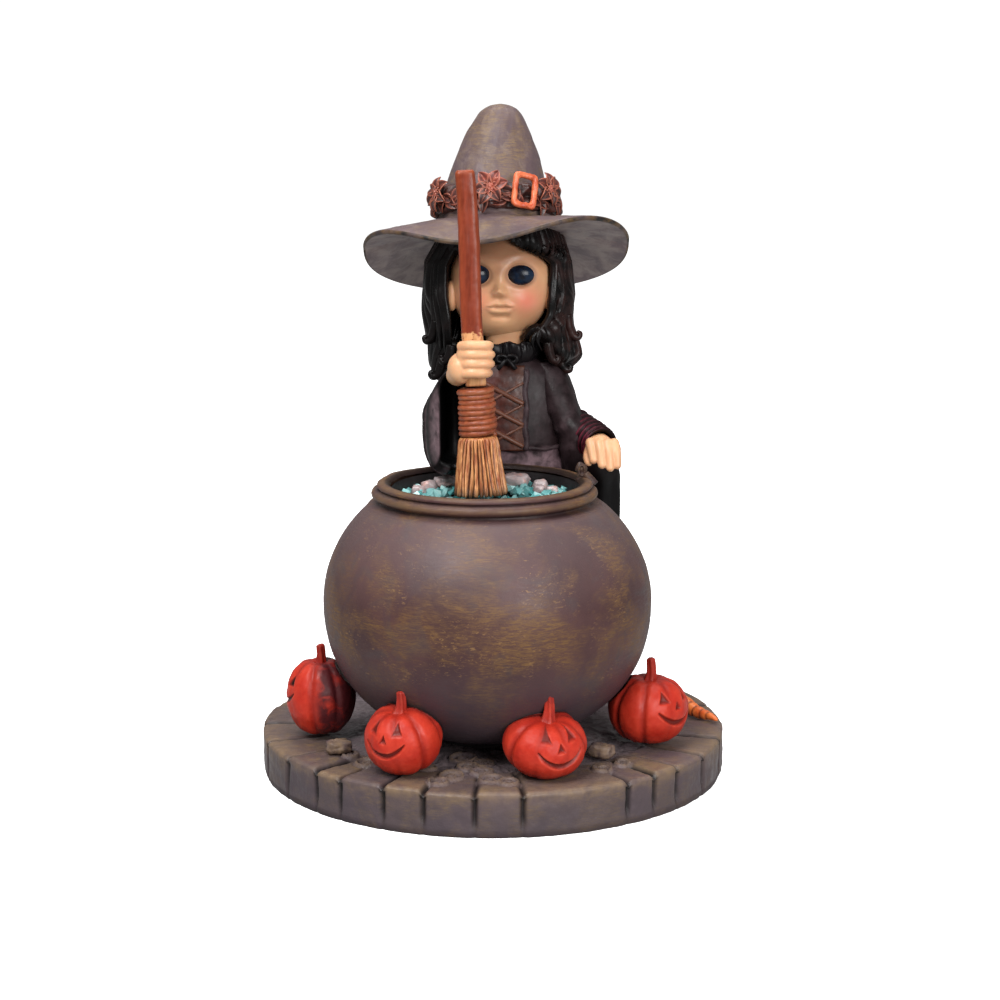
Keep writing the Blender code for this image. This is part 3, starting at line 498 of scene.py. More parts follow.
def cloth_look(name, deep, middle, light, gloss=0.42):
    """Dark robe paint with a lighter coat on the folds, and near black painted shade where gap is painted."""
    look = Look(name, gloss, Specular_IOR_Level=0.16)
    rub = look.times("wear", look.blotch(0.3, 0.62, 4.0, 5.0, 0.6, 0.4))
    look.start(look.blotch(0.35, 0.65, 14.0, 3.0), deep, middle)
    # Near black where gap is painted: painted shade in the hollows of folds, inside the sleeves' ends and
    # openings, and on the right sleeve's side against the body.
    look.coat((rub, light), ("gap", (0.0012, 0.001, 0.0012)))
    return look.done((gloss - 0.08, gloss + 0.1, 4.0), (0.14, 0.4, 1.8, 5.0, 0.6))


def bodice_look():
    look = Look("bodice_look", 0.4, Specular_IOR_Level=0.3)
    look.start(look.span(look.axis("X"), -0.002, 0.009), (0.045, 0.004, 0.006), (0.062, 0.017, 0.007)).coat(
        (look.blotch(0.4, 0.62, 3.0, 5.0), (0.022, 0.005, 0.005)),
        ("wear", (0.13, 0.050, 0.030)),
        ("gap", (0.008, 0.004, 0.004)),
    )
    return look.done((0.3, 0.5, 2.0), (0.2, 0.3, 1.0))


def skin_look():
    look = Look("skin_look", 0.42, Subsurface_Weight=0.12, Subsurface_Scale=0.002, Specular_IOR_Level=0.45)
    look.start(look.blotch(0.35, 0.65, 9.0, 3.0), (0.63, 0.325, 0.170), (0.70, 0.385, 0.205)).coat(
        (look.times("blush", 0.85), (0.74, 0.20, 0.13)),
        ("shade", (0.30, 0.135, 0.075)),
        # Painted shade: hollows, found from the surface's curvature, are darkened to a brown.
        (look.span(look.edges(0.40, 0.50), 0.0, 1.0, 0.45, 0.0), (0.40, 0.15, 0.07)),
    )
    return look.done((0.34, 0.48, 2.0), (0.06, 0.3, 0.9))


def eye_look():
    look = Look("eye_look", 0.22, Specular_IOR_Level=0.25)
    look.start(look.blotch(0.42, 0.68, 3.2, 3.0), (0.0045, 0.005, 0.010), (0.008, 0.020, 0.045))
    return look.done((0.15, 0.3, 2.0, 3.0))


def hair_look():
    look = Look("hair_look", 0.3, Specular_IOR_Level=0.17)
    right = look.times(look.span(look.axis("X"), 0.012, 0.026), look.blotch(0.4, 0.6, 5.0))
    look.start(look.blotch(0.4, 0.65, 7.0, 3.0), (0.0025, 0.002, 0.002), (0.006, 0.004, 0.004))
    look.coat((look.times(right, look.edges(0.49, 0.53)), (0.035, 0.014, 0.012)))
    return look.done((0.22, 0.38, 3.0), (0.25, 0.35, 0.9, 4.0, 0.6, 0.0, look.moved((1.0, 1.0, 0.25))))


def hat_look():
    colours = ((0.090, 0.060, 0.065), (0.135, 0.090, 0.094), (0.185, 0.120, 0.066))
    look, _ = brushed("hat_look", colours, 0.52, 0.85, 12.0, 60.0)
    # Painted light: the brim's underside is painted much paler than the hat's top, standing in for light
    # bounced up under the brim.
    under = look.mix(look.blotch(0.38, 0.62, 6.0, 5.0, 0.65, 0.5), (0.17, 0.130, 0.138), (0.31, 0.25, 0.235))
    edge = look.mix(look.blotch(0.4, 0.6, 3.0), (0.085, 0.048, 0.018), (0.010, 0.008, 0.007))
    pale = look.times(look.blotch(0.52, 0.68, 5.0, 6.0, 0.68, 0.6), 0.4)
    look.coat((pale, (0.22, 0.165, 0.135)), ("under", under), ("rim", edge))
    return look.done((0.42, 0.6, 4.0), (0.22, 0.45, 1.5, 6.0, 0.62))


def trim_look():
    look = Look("trim_look", 0.42, Specular_IOR_Level=0.5)
    # Where tone is painted the colour runs from near black to bright red; on the flower petals that is painted
    # light, bright on petals pointing up and dark on those pointing down.
    look.start("tone", (0.035, 0.009, 0.008), (0.33, 0.055, 0.036)).coat(
        (look.blotch(0.42, 0.64, 2.2), look.mix(0.55, look.base, (0.012, 0.005, 0.005))),
        ("wear", (0.40, 0.12, 0.07)),
        # Near black where gap is painted: painted shade in the hollows of petals and ribbon folds, over the
        # ribbon's own darker colour.
        ("gap", (0.012, 0.006, 0.006)),
    )
    return look.done((0.32, 0.5, 1.5), (0.2, 0.25, 0.8))


def buckle_look():
    look = Look("buckle_look", 0.38)
    look.start(look.blotch(0.35, 0.6, 2.5), (0.42, 0.060, 0.020), (0.70, 0.165, 0.065))
    look.coat(("gap", (0.16, 0.018, 0.008)))
    return look.done(bump=(0.2, 0.3, 1.2))


def handle_look():
    look = Look("handle_look", 0.4, Specular_IOR_Level=0.28)
    grain = look.noise(1.6, 5.0, 0.6, 0.3, look.moved((1.0, 1.0, 0.12)))
    ragged = look.maths("ADD", look.axis("Z"), look.blotch(0.3, 0.7, 2.0, start=-0.0028, end=0.0028))
    wood = look.mix(look.span(grain, 0.35, 0.65), (0.42, 0.19, 0.075), (0.72, 0.40, 0.18))
    paint = look.mix(look.span(grain, 0.35, 0.66), (0.12, 0.015, 0.004), (0.215, 0.030, 0.009))
    look.start(look.span(ragged, 0.1322, 0.1332), wood, paint)
    # Painted highlight: the raised edges along the handle are painted paler, standing in for light catching
    # them.
    look.coat((look.times(look.edges(0.5, 0.56), 0.5), (0.36, 0.085, 0.032)))
    return look.done(look.span(grain, 0.3, 0.7, 0.3, 0.46), (0.2, 0.35, grain))


def binding_look():
    look = Look("binding_look", 0.42)
    look.start(look.blotch(0.36, 0.64, 1.8), (0.17, 0.027, 0.008), (0.28, 0.064, 0.020))
    look.coat(("wear", (0.52, 0.20, 0.08)), ("gap", (0.055, 0.010, 0.004)))
    return look.done(bump=(0.25, 0.25, 0.7))


def bristle_look():
    look = Look("bristle_look", 0.45)
    strand = look.noise(0.9, 4.0, 0.6, 0.0, look.moved((1.0, 1.0, 0.12)))
    straw = look.mix(look.span(strand, 0.38, 0.64), (0.30, 0.075, 0.022), (0.66, 0.31, 0.115))
    ragged = look.maths("ADD", look.axis("Z"), look.span(strand, 0.3, 0.7, -0.001, 0.001))
    # Painted shade: near black in the grooves between the strands and at the brush's foot.
    straw = look.mix("gap", straw, (0.065, 0.016, 0.007))
    look.start(look.span(ragged, 0.0865, 0.0900), (0.040, 0.022, 0.010), straw)
    return look.done(bump=(0.35, 0.35, strand))


def chip_look():
    look = Look("chip_look", 0.06, IOR=1.5, Specular_IOR_Level=0.8, Coat_Weight=0.5, Coat_Roughness=0.03)
    look.inputs["Transmission Weight"].default_value = 0.25
    look.start("tone", (0.075, 0.33, 0.33), (0.50, 0.80, 0.78))
    look.coat((look.blotch(0.4, 0.7, 2.0, 3.0), look.mix(0.5, look.base, (0.10, 0.45, 0.45))))
    return look.done()


def pebble_look():
    look = Look("pebble_look", 0.3, Specular_IOR_Level=0.55)
    look.start(look.blotch(0.35, 0.65, 4.0), (0.27, 0.20, 0.20), (0.48, 0.42, 0.42))
    look.coat((look.blotch(0.5, 0.7, 2.0, 5.0), (0.48, 0.25, 0.21)))
    return look.done(bump=(0.25, 0.4, 1.2, 5.0))


def plain(name, dark, light, roughness, metallic=0.0, size=2.0, grain=0.15):
    """A moulded, rolled or turned surface of one colour with its own slight unevenness."""
    look = Look(name, roughness, metallic)
    look.start(look.blotch(0.35, 0.65, size), dark, light)
    low = max(roughness - 0.08, 0.05)
    return look.done((low, roughness + 0.08, size * 0.6), (grain, 0.1, size * 0.25, 3.0))


# ---------------------------------------------------------------- base


def sett_gap(angle, r):
    """Distance in millimetres from this direction to the nearest joint between setts."""
    nearest = min(abs((angle - line + 180) % 360 - 180) for line in SETT_LINES)
    return radians(nearest) * r


def sett_number(angle):
    return sum(1 for line in SETT_LINES if line < angle)


# Curls cast into the ground: x, y, size
CURLS = ((-11.6, -54, 3.3), (-15, -59, 2.6), (-3, -50, 3.2), (-0.5, -58, 3.3), (4.6, -60.5, 2.6))
CURLS += ((-8.5, -37, 3.8), (-7, -45, 3.0), (-18.5, -47, 2.6), (-2.5, -42, 2.8), (-36, -42, 3.0))
CURLS += ((-41, -36, 2.2), (31, -48, 2.6), (37, -43, 2.0))
EDGE_R = 1.7  # rounding of the top edge


def ground(x, y, angle, r):
    """Height, soil, joint darkness and curl of the top of the base at this place."""
    joint = bell(sett_gap(angle, r) / 0.75) * smooth((r - 50.5) / 2.0)
    tip = 0.35 * sin(sett_number(angle) * 2.3) * smooth((r - 52) / 3)
    round_off = EDGE_R - sqrt(max(EDGE_R**2 - max(r - (BASE_R - EDGE_R), 0) ** 2, 0.0))
    inner = 1 - smooth((r - 49.5) / 3.0)
    curl = round_about = 0.0
    for cx, cy, size in CURLS:
        away = hypot(x - cx, y - cy)
        curl = max(curl, bell((away - size) / 0.45), 0.7 * bell((away - 0.4 * size) / 0.4))
        round_about = max(round_about, smooth((size + 1.6 - away) / 1.2))
    joint *= 1 - 0.8 * round_about
    rubble = 0.9 * rumble(x, y, 0, 5.0) + 0.7 * max(0.0, rumble(x + 40, y, 9, 3.0))
    rubble *= 0.7 * (1 - 0.85 * round_about)
    height = BASE_H - 1.25 * joint - round_off + tip + inner * (rubble - 0.5) + 0.95 * curl
    height += 0.12 * rumble(x, y, 4, 2.5) - 0.5 * round_about * (1 - curl)
    return min(height, BASE_H + 1.0), max(inner, 0.75 * round_about) * (0.85 - 0.8 * curl), joint, curl


def base_spot(stop, angle):
    """The top has no height given, the side no radius, the underside has both. The angle is in degrees."""
    r, z = stop
    across, along = sin(radians(angle)), -cos(radians(angle))
    change = sin(sett_number(angle) * 2.7)
    wear = soil = joint = tone = 0.0
    if z is None:
        z, soil, joint, curl = ground(r * across, r * along, angle, r)
        wear = max(smooth((r - 61) / 7) * (1 - joint) * (0.65 + 0.35 * change), 0.8 * curl)
        tone = 0.4 + 0.4 * change
    elif r is None:
        joint = bell(sett_gap(angle, BASE_R) / 0.75) * (0.2 + 0.8 * smooth((z - 1.0) / 5.0))
        wave = 0.22 * rumble(angle * 1.2, z, 3, 5.0) - 0.25
        r = BASE_R - 1.5 * joint - 0.5 * smooth((1.5 - z) / 1.5) + wave
        wear = 0.7 * smooth((z - 9.0) / 3) * (1 - joint)
        tone = 0.2 + 0.2 * change
    return (r * across, r * along, z), {"wear": wear, "soil": soil, "gap": joint, "tone": tone}


def build_base(look):
    radii = [0.5, 6.5] + steps(21, 12.0, 33.0) + steps(65, 34.0, 66.5)
    radii += [67.2, 67.8, 68.4, 68.9, 69.3, 69.6, 69.8]
    stops = [(r, None) for r in radii]
    stops += [(None, (BASE_H - EDGE_R) * (1 - i / 21)) for i in range(22)]
    stops += [(67.0, 0.0), (63.0, 0.0)]
    stops += [(HOLLOW_R, 0.0), (HOLLOW_R, 4.0), (HOLLOW_R, ROOF_Z), (40.0, ROOF_Z), (1.0, ROOF_Z)]
    shape = Shape()
    shape.sheet(stops, [360 * k / 1000 - 180 for k in range(1000)], base_spot)
    shape.done("plinth_setts", look, "base_stone", "base_plinth")


def rock(shape, middle, size, seed, turn=0, levels=14, **paint):
    """A lump with broken faces, turned by this many degrees."""
    spin = Matrix.Rotation(radians(turn), 3, "Z") if turn else Matrix.Identity(3)

    def spot(tilt, a):
        d = Vector((cos(tilt) * cos(a), cos(tilt) * sin(a), sin(tilt)))
        lump = 1 + 0.16 * rumble(d.x * 3 + seed, d.y * 3, d.z * 3, 2.0)
        facet = max(abs(d.x), abs(d.y), abs(d.z)) ** -0.45
        p = Vector((d.x * size[0], d.y * size[1], d.z * size[2])) * (lump * facet * 0.9)
        return Vector(middle) + spin @ p, paint

    shape.sheet(tilts(levels), circle(levels * 2), spot)


def build_ground_pieces(look):
    for name, turn, size in (("loose_stone", 25, (4.2, 3.2, 2.2)), ("wood_block", -28, (4.3, 2.8, 2.3))):
        shape = Shape()
        rock(shape, middle_of(name), size, len(name), turn, 22, wear=0.8)
        shape.done(name + "_cast", look, "base_stone", name, rough=((2.0, 0.12),))


# ---------------------------------------------------------------- cauldron


def pot_radius(z):
    half, power = (POT_UP, 2.0) if z > POT_Z else (POT_DOWN, 2.15)
    part = min(abs(z - POT_Z) / half, 0.99)
    return POT_R * (1 - part**power) ** (1 / power)


def off_pot(p, gap=0.3):
    """The point itself, or the nearest one outside the pot's body at the same height."""
    x, y, z = p
    if not 14.0 < z < 85.0:
        return p
    dx, dy = x - POT_X, y - POT_Y
    reach = hypot(dx, dy)
    limit = pot_radius(z) + gap
    if reach >= limit or reach < 1e-6:
        return p
    return (POT_X + dx * limit / reach, POT_Y + dy * limit / reach, z)


def pot_spot(stop, a):
    """The body is a little narrower than the CAD one, and its rim stands a little to the left of it."""
    r, z = stop
    c, s = cos(a), sin(a)
    rim = z > 84.2
    push = 0.28 * rumble(c * 30, s * 30, z, 9.0) if rim else 0.10 * rumble(c * 45, s * 45, z, 14.0)
    belly = sin(pi * min(max((z - 14) / 70, 0), 1))
    out = push - 0.7 * belly
    shift = 0.35 * belly - 0.45 * smooth((z - 82) / 2)
    rise = 0.55 * smooth((z - 83) / 3) + (push * 0.4 if rim else 0)
    crest = max(bell((z - 86.4) / 0.9) if r > 31.5 else 0.0, bell((z - 89.5) / 0.5) if r < 31.4 else 0.0)
    groove = max(bell((z - 84.5) / 0.5), bell((z - 87.85) / 0.35)) if r > 30.0 else 0.0
    foot = 1 - smooth((z - 13.4) / 3.5)
    return (POT_X + (r + out) * c + shift, POT_Y + (r + out) * s, z + rise), {
        "wear": crest * (0.55 + 0.45 * rumble(c * 30, s * 30, z, 4.0)),
        # Painted shade: darker in the rim's grooves, at the foot where the body meets the ground, and inside
        # the rim.
        "gap": max(0.6 * groove, 0.8 * foot, 0.85 * smooth((29.6 - r) / 1.0) if rim else 0.0),
    }


def build_pot(outside, inside):
    profile = [(14.0, 13.35), (pot_radius(POT_LOW), POT_LOW)]
    for i in range(1, 60):
        z = POT_LOW + (POT_TOP - POT_LOW) * (0.5 - 0.5 * cos(pi * i / 60))
        profile.append((pot_radius(z), z))
    rim = ((31.4, 84.1), (31.0, 84.7), (31.9, 85.0), (32.8, 85.6), (33.0, 86.4), (32.6, 87.2), (31.6, 87.7))
    rim += ((30.9, 87.9), (31.4, 88.3), (31.3, 89.0), (30.5, 89.5), (29.2, 89.6), (28.1, 89.2), (27.5, 88.4))
    wall = ((27.5, 88.4), (27.0, 86.0), (26.9, 80.8), (24.4, 80.8), (24.4, 78.0))
    wall += ((40.0, 70.0), (44.0, 54.0), (38.0, 30.0), (14.0, 17.0), (14.0, 13.35))
    shape = Shape()
    shape.sheet(profile + through(rim, 3), circle(240), pot_spot, caps=False)
    shape.add(lathe((POT_X, POT_Y), wall, 240), caps=False, look=1)
    shape.done("cauldron_cast", (outside, inside), "cauldron_paint", "cauldron")


def build_lug(look):
    """A pointed leaf with a raised loop on it, standing on the rim."""
    foot = middle_of("rim_lug")
    foot.z = 89.2
    sizes = [2.2 - 0.5 * sin(pi * i / 12) + 0.25 * cos(i * 1.7) for i in range(9)]
    sizes += [1.9 * (12.6 - i) / 4 for i in range(9, 13)]
    shape = Shape()
    leaf = [foot + Vector((-1.2 * t * t, 0.0, 5.4 * t)) for t in steps(12)]
    shape.add(tube(leaf, sizes, 16, 0.6, Vector((0, 1, 0))))
    root = [foot + Vector((0.6 + 2.6 * t, -0.5 - 1.0 * t, 2.2 - 3.6 * t)) for t in steps(8)]
    shape.add(tube(root, [1.1 + 0.09 * i for i in range(9)], 16))
    loop = [foot + Vector((0.9 * cos(a) - 0.35, -1.15, 3.0 + 1.5 * sin(a))) for a in steps(28, 0, 2 * pi)]
    shape.add(tube(loop, 0.34, 8))
    ridge = [foot + Vector((1.3 * sin(t * 2.6) - 1.4 * t, -1.0, 0.4 + 4.6 * t)) for t in steps(12)]
    shape.add(tube(ridge, 0.3, 8))
    shape.paint(0, gap=0.5)
    shape.done("rim_lug_cast", look, "cauldron_paint", "rim_lug", subdivide=1, rough=((1.5, 0.1),))


def crystal(shape, middle, size, rng, tone):
    """A broken piece of glass: a few flat faces meeting at sharp edges."""
    work = bmesh.new()
    for _ in range(11):
        d = Vector((rng.gauss(0, 1), rng.gauss(0, 1), rng.gauss(0, 0.8))).normalized()
        work.verts.new(Vector(middle) + d * size * rng.uniform(0.75, 1.1))
    bmesh.ops.convex_hull(work, input=work.verts)
    bmesh.ops.delete(work, geom=[v for v in work.verts if not v.link_faces], context="VERTS")
    work.verts.index_update()
    start = len(shape.points)
    shape.points.extend(tuple(v.co) for v in work.verts)
    shape.faces.extend(tuple(start + v.index for v in face.verts) for face in work.faces)
    shape.looks.extend([0] * len(work.faces))
    shape.paint(start, tone=tone)
    work.free()


# Small stones in the potion: x and y from its middle, size
GRAVEL = ((-17, 12, 2.6), (-20, 6, 2.2), (-6, 20, 2.6), (-1, 18.5, 2.4), (16, 13.5, 2.5), (19.5, 7, 2.0))
GRAVEL += ((15.5, 9, 1.9),)


def build_potion(glass, pebble):
    rng = random.Random(11)
    shape = Shape()
    for _ in range(250):
        reach, a = 25.0 * sqrt(rng.random()), rng.uniform(0, 2 * pi)
        x, y = POT_X + reach * cos(a), POT_Y + reach * sin(a)
        swept = hypot((x - BROOM_FOOT.x) * 0.72, y - BROOM_FOOT.y) < 11.5
        size = rng.uniform(1.1, 1.9) if swept else rng.uniform(1.5, 2.7)
        if x > 8 and not swept and rng.random() < 0.4:
            size *= 1.35
        top = 85.0 if swept else 86.7 + 0.9 * rng.random()
        size = min(size, 26.3 - reach) if reach > 24.6 else size
        if size > 0.8:
            crystal(shape, (x, y, top - size * 1.1), size, rng, rng.random() ** 1.6)
    shape.done("potion_crystals", glass, "potion_glass", "potion_chips", flat=True)
    for name, turn in (("potion_pebble_1", 20), ("potion_pebble_2", -15)):
        low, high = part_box(name)
        half = (high - low) / 2 / MM
        stone = Shape()
        size = (half.x * 0.85, half.y * 0.9, half.z * 0.85)
        rock(stone, middle_of(name) - Vector((0, 0, 1.4)), size, turn, turn, 20)
        stone.done(name + "_stone", pebble, "pebble_stone", name, rough=((2.5, 0.3),))
    rest = Shape()
    for dx, dy, size in GRAVEL:
        rock(rest, (POT_X + dx, POT_Y + dy, 84.9 + size * 0.5), (size, size * 0.85, size * 0.8), dx, 0, 12)
    rest.done("potion_gravel", pebble, "pebble_stone", rough=((2.0, 0.25),))


# ---------------------------------------------------------------- pumpkins and carrot


def in_triangle(x, y, cx, cy, size):
    """Negative inside a triangle."""
    return max(cy - y - size * 0.75, (y - cy) * 0.5 + abs(x - cx) * 0.95 - size * 0.62)


def carved(x, y, scale):
    """How deep the face is cut here, from 0 to 1."""
    x, y = x / scale, y / scale
    eyes = min(in_triangle(x, y, -4.1, 2.3, 1.45), in_triangle(x, y, 4.1, 2.3, 1.45))
    nose = in_triangle(x, y, 0.0, 0.0, 1.0)
    smile = -4.5 + 0.08 * x * x
    open_by = 0.75 * sqrt(max(1 - (x / 6.5) ** 2, 0.0))
    mouth = abs(y - smile) - open_by if abs(x) < 6.5 else 9.0
    return smooth(-min(eyes, nose, mouth) / 0.45 + 0.5)


def build_pumpkin(settings, look):
    name, x, y, r, half, lean, facing, stem = settings
    outward = Vector((x - POT_X, y - POT_Y, 0)).normalized()
    turn = Matrix.Rotation(radians(lean), 3, UP.cross(outward))
    middle = Vector((x, y, BASE_H + 0.3 + half))
    ribs = 8
    left = name == "pumpkin_left"

    def spot(tilt, a):
        part = (a * ribs / (2 * pi) + 0.25) % 1.0
        seam = min(part, 1 - part) * 2 * pi / ribs * r * max(cos(tilt), 0.02)
        crease = bell(seam) * smooth(cos(tilt) * 3)
        reach = r * max(cos(tilt), 0.0) ** 0.86
        dent = exp(-((reach / (0.36 * r)) ** 2))
        away = (atan2(cos(a), -sin(a)) - radians(facing) + pi) % (2 * pi) - pi
        up = sin(tilt) * half * 1.08 - 0.3 * half - 0.12 * lean
        cut = carved(away * (0.35 * r + 0.65 * reach), up, r / 10.5) if abs(away) < 1.3 else 0.0
        crease *= 1 - 0.75 * smooth((0.85 - abs(away)) / 0.3) * smooth((0.9 - tilt) / 0.4)
        reach = max(reach - 0.75 * crease * (1 - cut) - 0.95 * cut, 0.02)
        p = middle + turn @ Vector((reach * cos(a), reach * sin(a), half * sin(tilt) * (1 - 0.17 * dent)))
        place = off_pot((p.x, p.y, max(p.z, BASE_H - 0.3)))
        near = hypot(place[0] - POT_X, place[1] - POT_Y) - pot_radius(min(max(place[2], 14), 84))
        # Painted shade: the left pumpkin darkens over its right half, towards the pot; the others darken near
        # the pot, and all darken towards the ground.
        side = smooth((p.x - x + 2.5) / 4.0) if left else 0.3 * smooth((4 - near) / 8 + 0.4)
        return place, {
            "rib": crease * 0.9,
            "carve": cut,
            "wash": side + 0.55 * smooth((3 + BASE_H - p.z) / 4),
            "black": 0.85 * smooth((0.9 - near) / 0.9) + (cut if left else 0.0),
        }

    shape = Shape()
    shape.sheet(tilts(92), circle(216), spot, caps=False)
    root = middle + turn @ Vector((0, 0, half * 0.72))
    path = [root + Vector((0.5 * sin(t * 2.5), -0.2 * t, stem * t)) for t in steps(14)]
    sizes = [1.45 + 1.5 * exp(-i / 2.2) - 0.02 * i for i in range(15)]
    rings = fluted(tube(path, sizes, 30), path, 5, 0.13, 0.12)
    rings.append([path[-1] + Vector((0, 0, 0.35)) + (p - path[-1]) * 0.6 for p in rings[-1]])
    # The stem is darkened a little as its own colour.
    shape.add(rings, rib=0.25, wash=0.35)
    shape.done(name + "_carved", look, "pumpkin_paint", name, rough=((4.0, 0.14),))


def build_carrot(look):
    low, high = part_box("carrot")
    start = Vector((low.x / MM + 1.6, high.y / MM - 1.4, 15.9))
    end = Vector((high.x / MM, low.y / MM, 14.5))
    nicks = (0.2, 0.36, 0.5, 0.66, 0.8)
    path, sizes, gap = [], [], []
    for t in steps(48):
        path.append(start.lerp(end, t) + Vector((0, 0, 0.35 * sin(t * 9))))
        nick = max(bell((t - c) / 0.022) for c in nicks)
        sizes.append((2.5 * (1 - t) ** 0.55 + 0.25) * (1 - 0.13 * nick) * smooth(t * 12 + 0.25))
        # Painted shade: the nicks are darkened, most over thirteen of the twenty sides round the tube.
        dark = max(bell((t - c) / 0.016) for c in nicks)
        gap += [dark * (0.9 if k < 13 else 0.2) for k in range(20)]
    shape = Shape()
    shape.add(tube(path, sizes, 20), gap=gap)
    shape.done("carrot_cast", look, "pumpkin_paint", "carrot", rough=((2.5, 0.15),))


# ---------------------------------------------------------------- robe and sleeves


# Sections of the robe: x, y, z, half width, half depth
ROBE = (
    (3.0, 41.0, 13.3, 36.0, 20.0), (3.0, 40.0, 34.0, 33.0, 18.5), (3.0, 37.5, 56.0, 29.0, 17.5),
    (3.0, 34.0, 74.0, 25.0, 16.0), (3.0, 32.0, 86.0, 22.0, 14.0), (3.0, 31.0, 96.0, 21.0, 12.8),
    (3.5, 31.0, 106.0, 21.4, 11.6), (4.0, 31.0, 113.0, 19.2, 10.4), (4.0, 31.0, 118.0, 15.0, 9.0),
    (4.0, 31.0, 121.0, 9.5, 7.8),
)


def robe_spot(stop, a):
    x, y, z, wide, deep = stop
    c, s = cos(a), sin(a)
    across, along = squircle(a, 2.2)
    low = smooth((96 - z) / 70)
    behind = smooth((s + 0.45) / 0.5)
    phase = a * 11 + 1.4 * sin(a * 3 + z * 0.02) + 0.9 * sin(z * 0.05)
    fold = sin(phase) - 0.35 * cos(2 * phase)
    skirt = smooth((94.2 - z) / 0.8) * smooth((-s - 0.2) / 0.3)
    push = low * behind * (1.25 * fold + 0.4 * sin(a * 27 + z * 0.06)) - 0.9 * skirt
    push += 0.25 * behind * sin(a * 9 + z * 0.22) * smooth((z - 90) / 8)
    return off_pot((x + wide * across + push * c, y + deep * along + push * s, z)), {
        "wear": min(1.0, 0.09 + 0.4 * max(fold, 0) * low * behind + skirt),
        # Painted shade: the hollows of the folds are darkened.
        "gap": 0.5 * max(-fold, 0) * low * behind,
    }


def build_robe(look):
    shape = Shape()
    shape.sheet(through(ROBE, 9), circle(360), robe_spot)
    robe = shape.done("robe_folds", look, "robe_paint", "robe", rough=((5.0, 0.12),))
    x, y = SHOULDER
    room = Shape()
    plan = ((x - 18.9, y + 0.5), (x - 18.9, y - 30.0), (x + 10.7, y - 30.0), (x + 6.9, y + 0.5))
    room.add([[(px, py, z) for px, py in plan] for z in (97.3, 124.0)])
    room.add(lathe(SHOULDER, [(6.9, 97.1), (6.9, 112.0)], 48))
    carve_out(robe, room)


def carve_out(obj, room):
    """Cuts the room's solids from obj and keeps the result as its mesh."""
    mesh = mesh_of("room", room.points, room.faces)
    work = bmesh.new()
    work.from_mesh(mesh)
    bmesh.ops.recalc_face_normals(work, faces=work.faces)
    work.to_mesh(mesh)
    work.free()
    cutter = linked("room", mesh)
    change = obj.modifiers.new("room", "BOOLEAN")
    change.object = cutter
    change.operation = "DIFFERENCE"
    change.use_self = True
    hardened(obj)
    bpy.data.objects.remove(cutter)


def panel_front(z):
    stops = ((93.5, 16.6), (101.0, 17.0), (109.0, 17.6), (116.0, 19.4), (120.0, 21.4))
    for (z0, y0), (z1, y1) in zip(stops, stops[1:]):
        if z <= z1:
            return y0 + (y1 - y0) * (z - z0) / (z1 - z0)
    return stops[-1][1]


def build_bodice(look, dark):
    def bulge(x, z):
        return panel_front(z) + 0.5 * ((x - 3.3) / 6.3) ** 2

    def spot(z, x):
        return (x, bulge(x, z) + 0.12 * rumble(x, 0, z, 3.0) + 0.25, z), {"wear": 0.12}

    shape = Shape()
    shape.sheet(steps(60, 93.6, 119.2), steps(40, -3.0, 9.6), spot, closed=False, caps=False)
    shape.done("bodice_panel", look, "bodice_paint", "bodice", thick=0.6)
    lace = Shape()
    for i in range(3):
        low = 94.9 + 6.5 * i
        for rise, lead, size, over in ((6.3, 0.0, 0.42, 0.28), (-6.3, 6.3, 0.78, 0.12)):
            path = []
            for t in steps(24):
                x, z = -2.6 + 11.8 * t, low + lead + rise * t
                path.append(Vector((x, bulge(x, z) - over, z)))
            lace.add(tube(path, size, 10), wear=0.7)
    lace.done("bodice_lace", look, "bodice_paint", rough=((1.5, 0.08),))
    hem = Shape()
    for x in (-3.4, 9.9):
        path = []
        for i, z in enumerate(steps(30, 93.8, 117.8)):
            path.append(Vector((x + 0.25 * sin(i * 0.5), panel_front(z) + 0.9, z)))
        hem.add(tube(path, 1.0, 14))
    path = [Vector((x, 18.0 + 0.018 * (x - 3) ** 2, 93.8 + 0.3 * sin(x * 0.7))) for x in steps(30, -4, 22)]
    hem.add(tube(path, 0.75, 12))
    hem.paint(0, wear=0.26)
    hem.done("lapel_edges", dark, "robe_paint", rough=((2.5, 0.15),))


def build_collar(look):
    def spot(stop, a):
        r, z, wave = stop
        reach = r + wave * (sin(a * 15 + 1.3 * sin(a * 4)) + 0.3 * sin(a * 31))
        lift = 0.5 * wave * cos(a * 9 + 1.0)
        return (4.0 + reach * cos(a), 30.4 + reach * 0.95 * sin(a), z + lift), {}

    stops = ((8.8, 119.8, 0.1), (9.9, 121.6, 0.3), (10.5, 123.4, 0.5), (10.3, 125.0, 0.7), (9.6, 126.4, 0.9))
    shape = Shape()
    shape.sheet(stops, circle(280), spot, caps=False)
    shape.done("collar_ruffle", look, "robe_paint", "collar", thick=0.8, subdivide=1)
    bow = Shape()
    for way in (-1, 1):
        knot = Vector((4.2, 19.4, 121.6))
        loop = []
        for a in steps(24, 0, 2 * pi):
            loop.append(knot + Vector((way * 1.55 * (1 - cos(a)), -0.5 * sin(a / 2), 1.05 * sin(a) * way)))
        bow.add(tube(loop, 0.62, 10))
        knot = Vector((4.2, 19.0, 121.4))
        tail = [knot + Vector((way * (0.4 + 2.2 * t), -0.4 * sin(t * 3), -2.8 * t)) for t in steps(12)]
        bow.add(tube(tail, steps(12, 0.55, 0.8), 10))
    bow.done("collar_bow", look, "robe_paint", rough=((1.2, 0.1),))


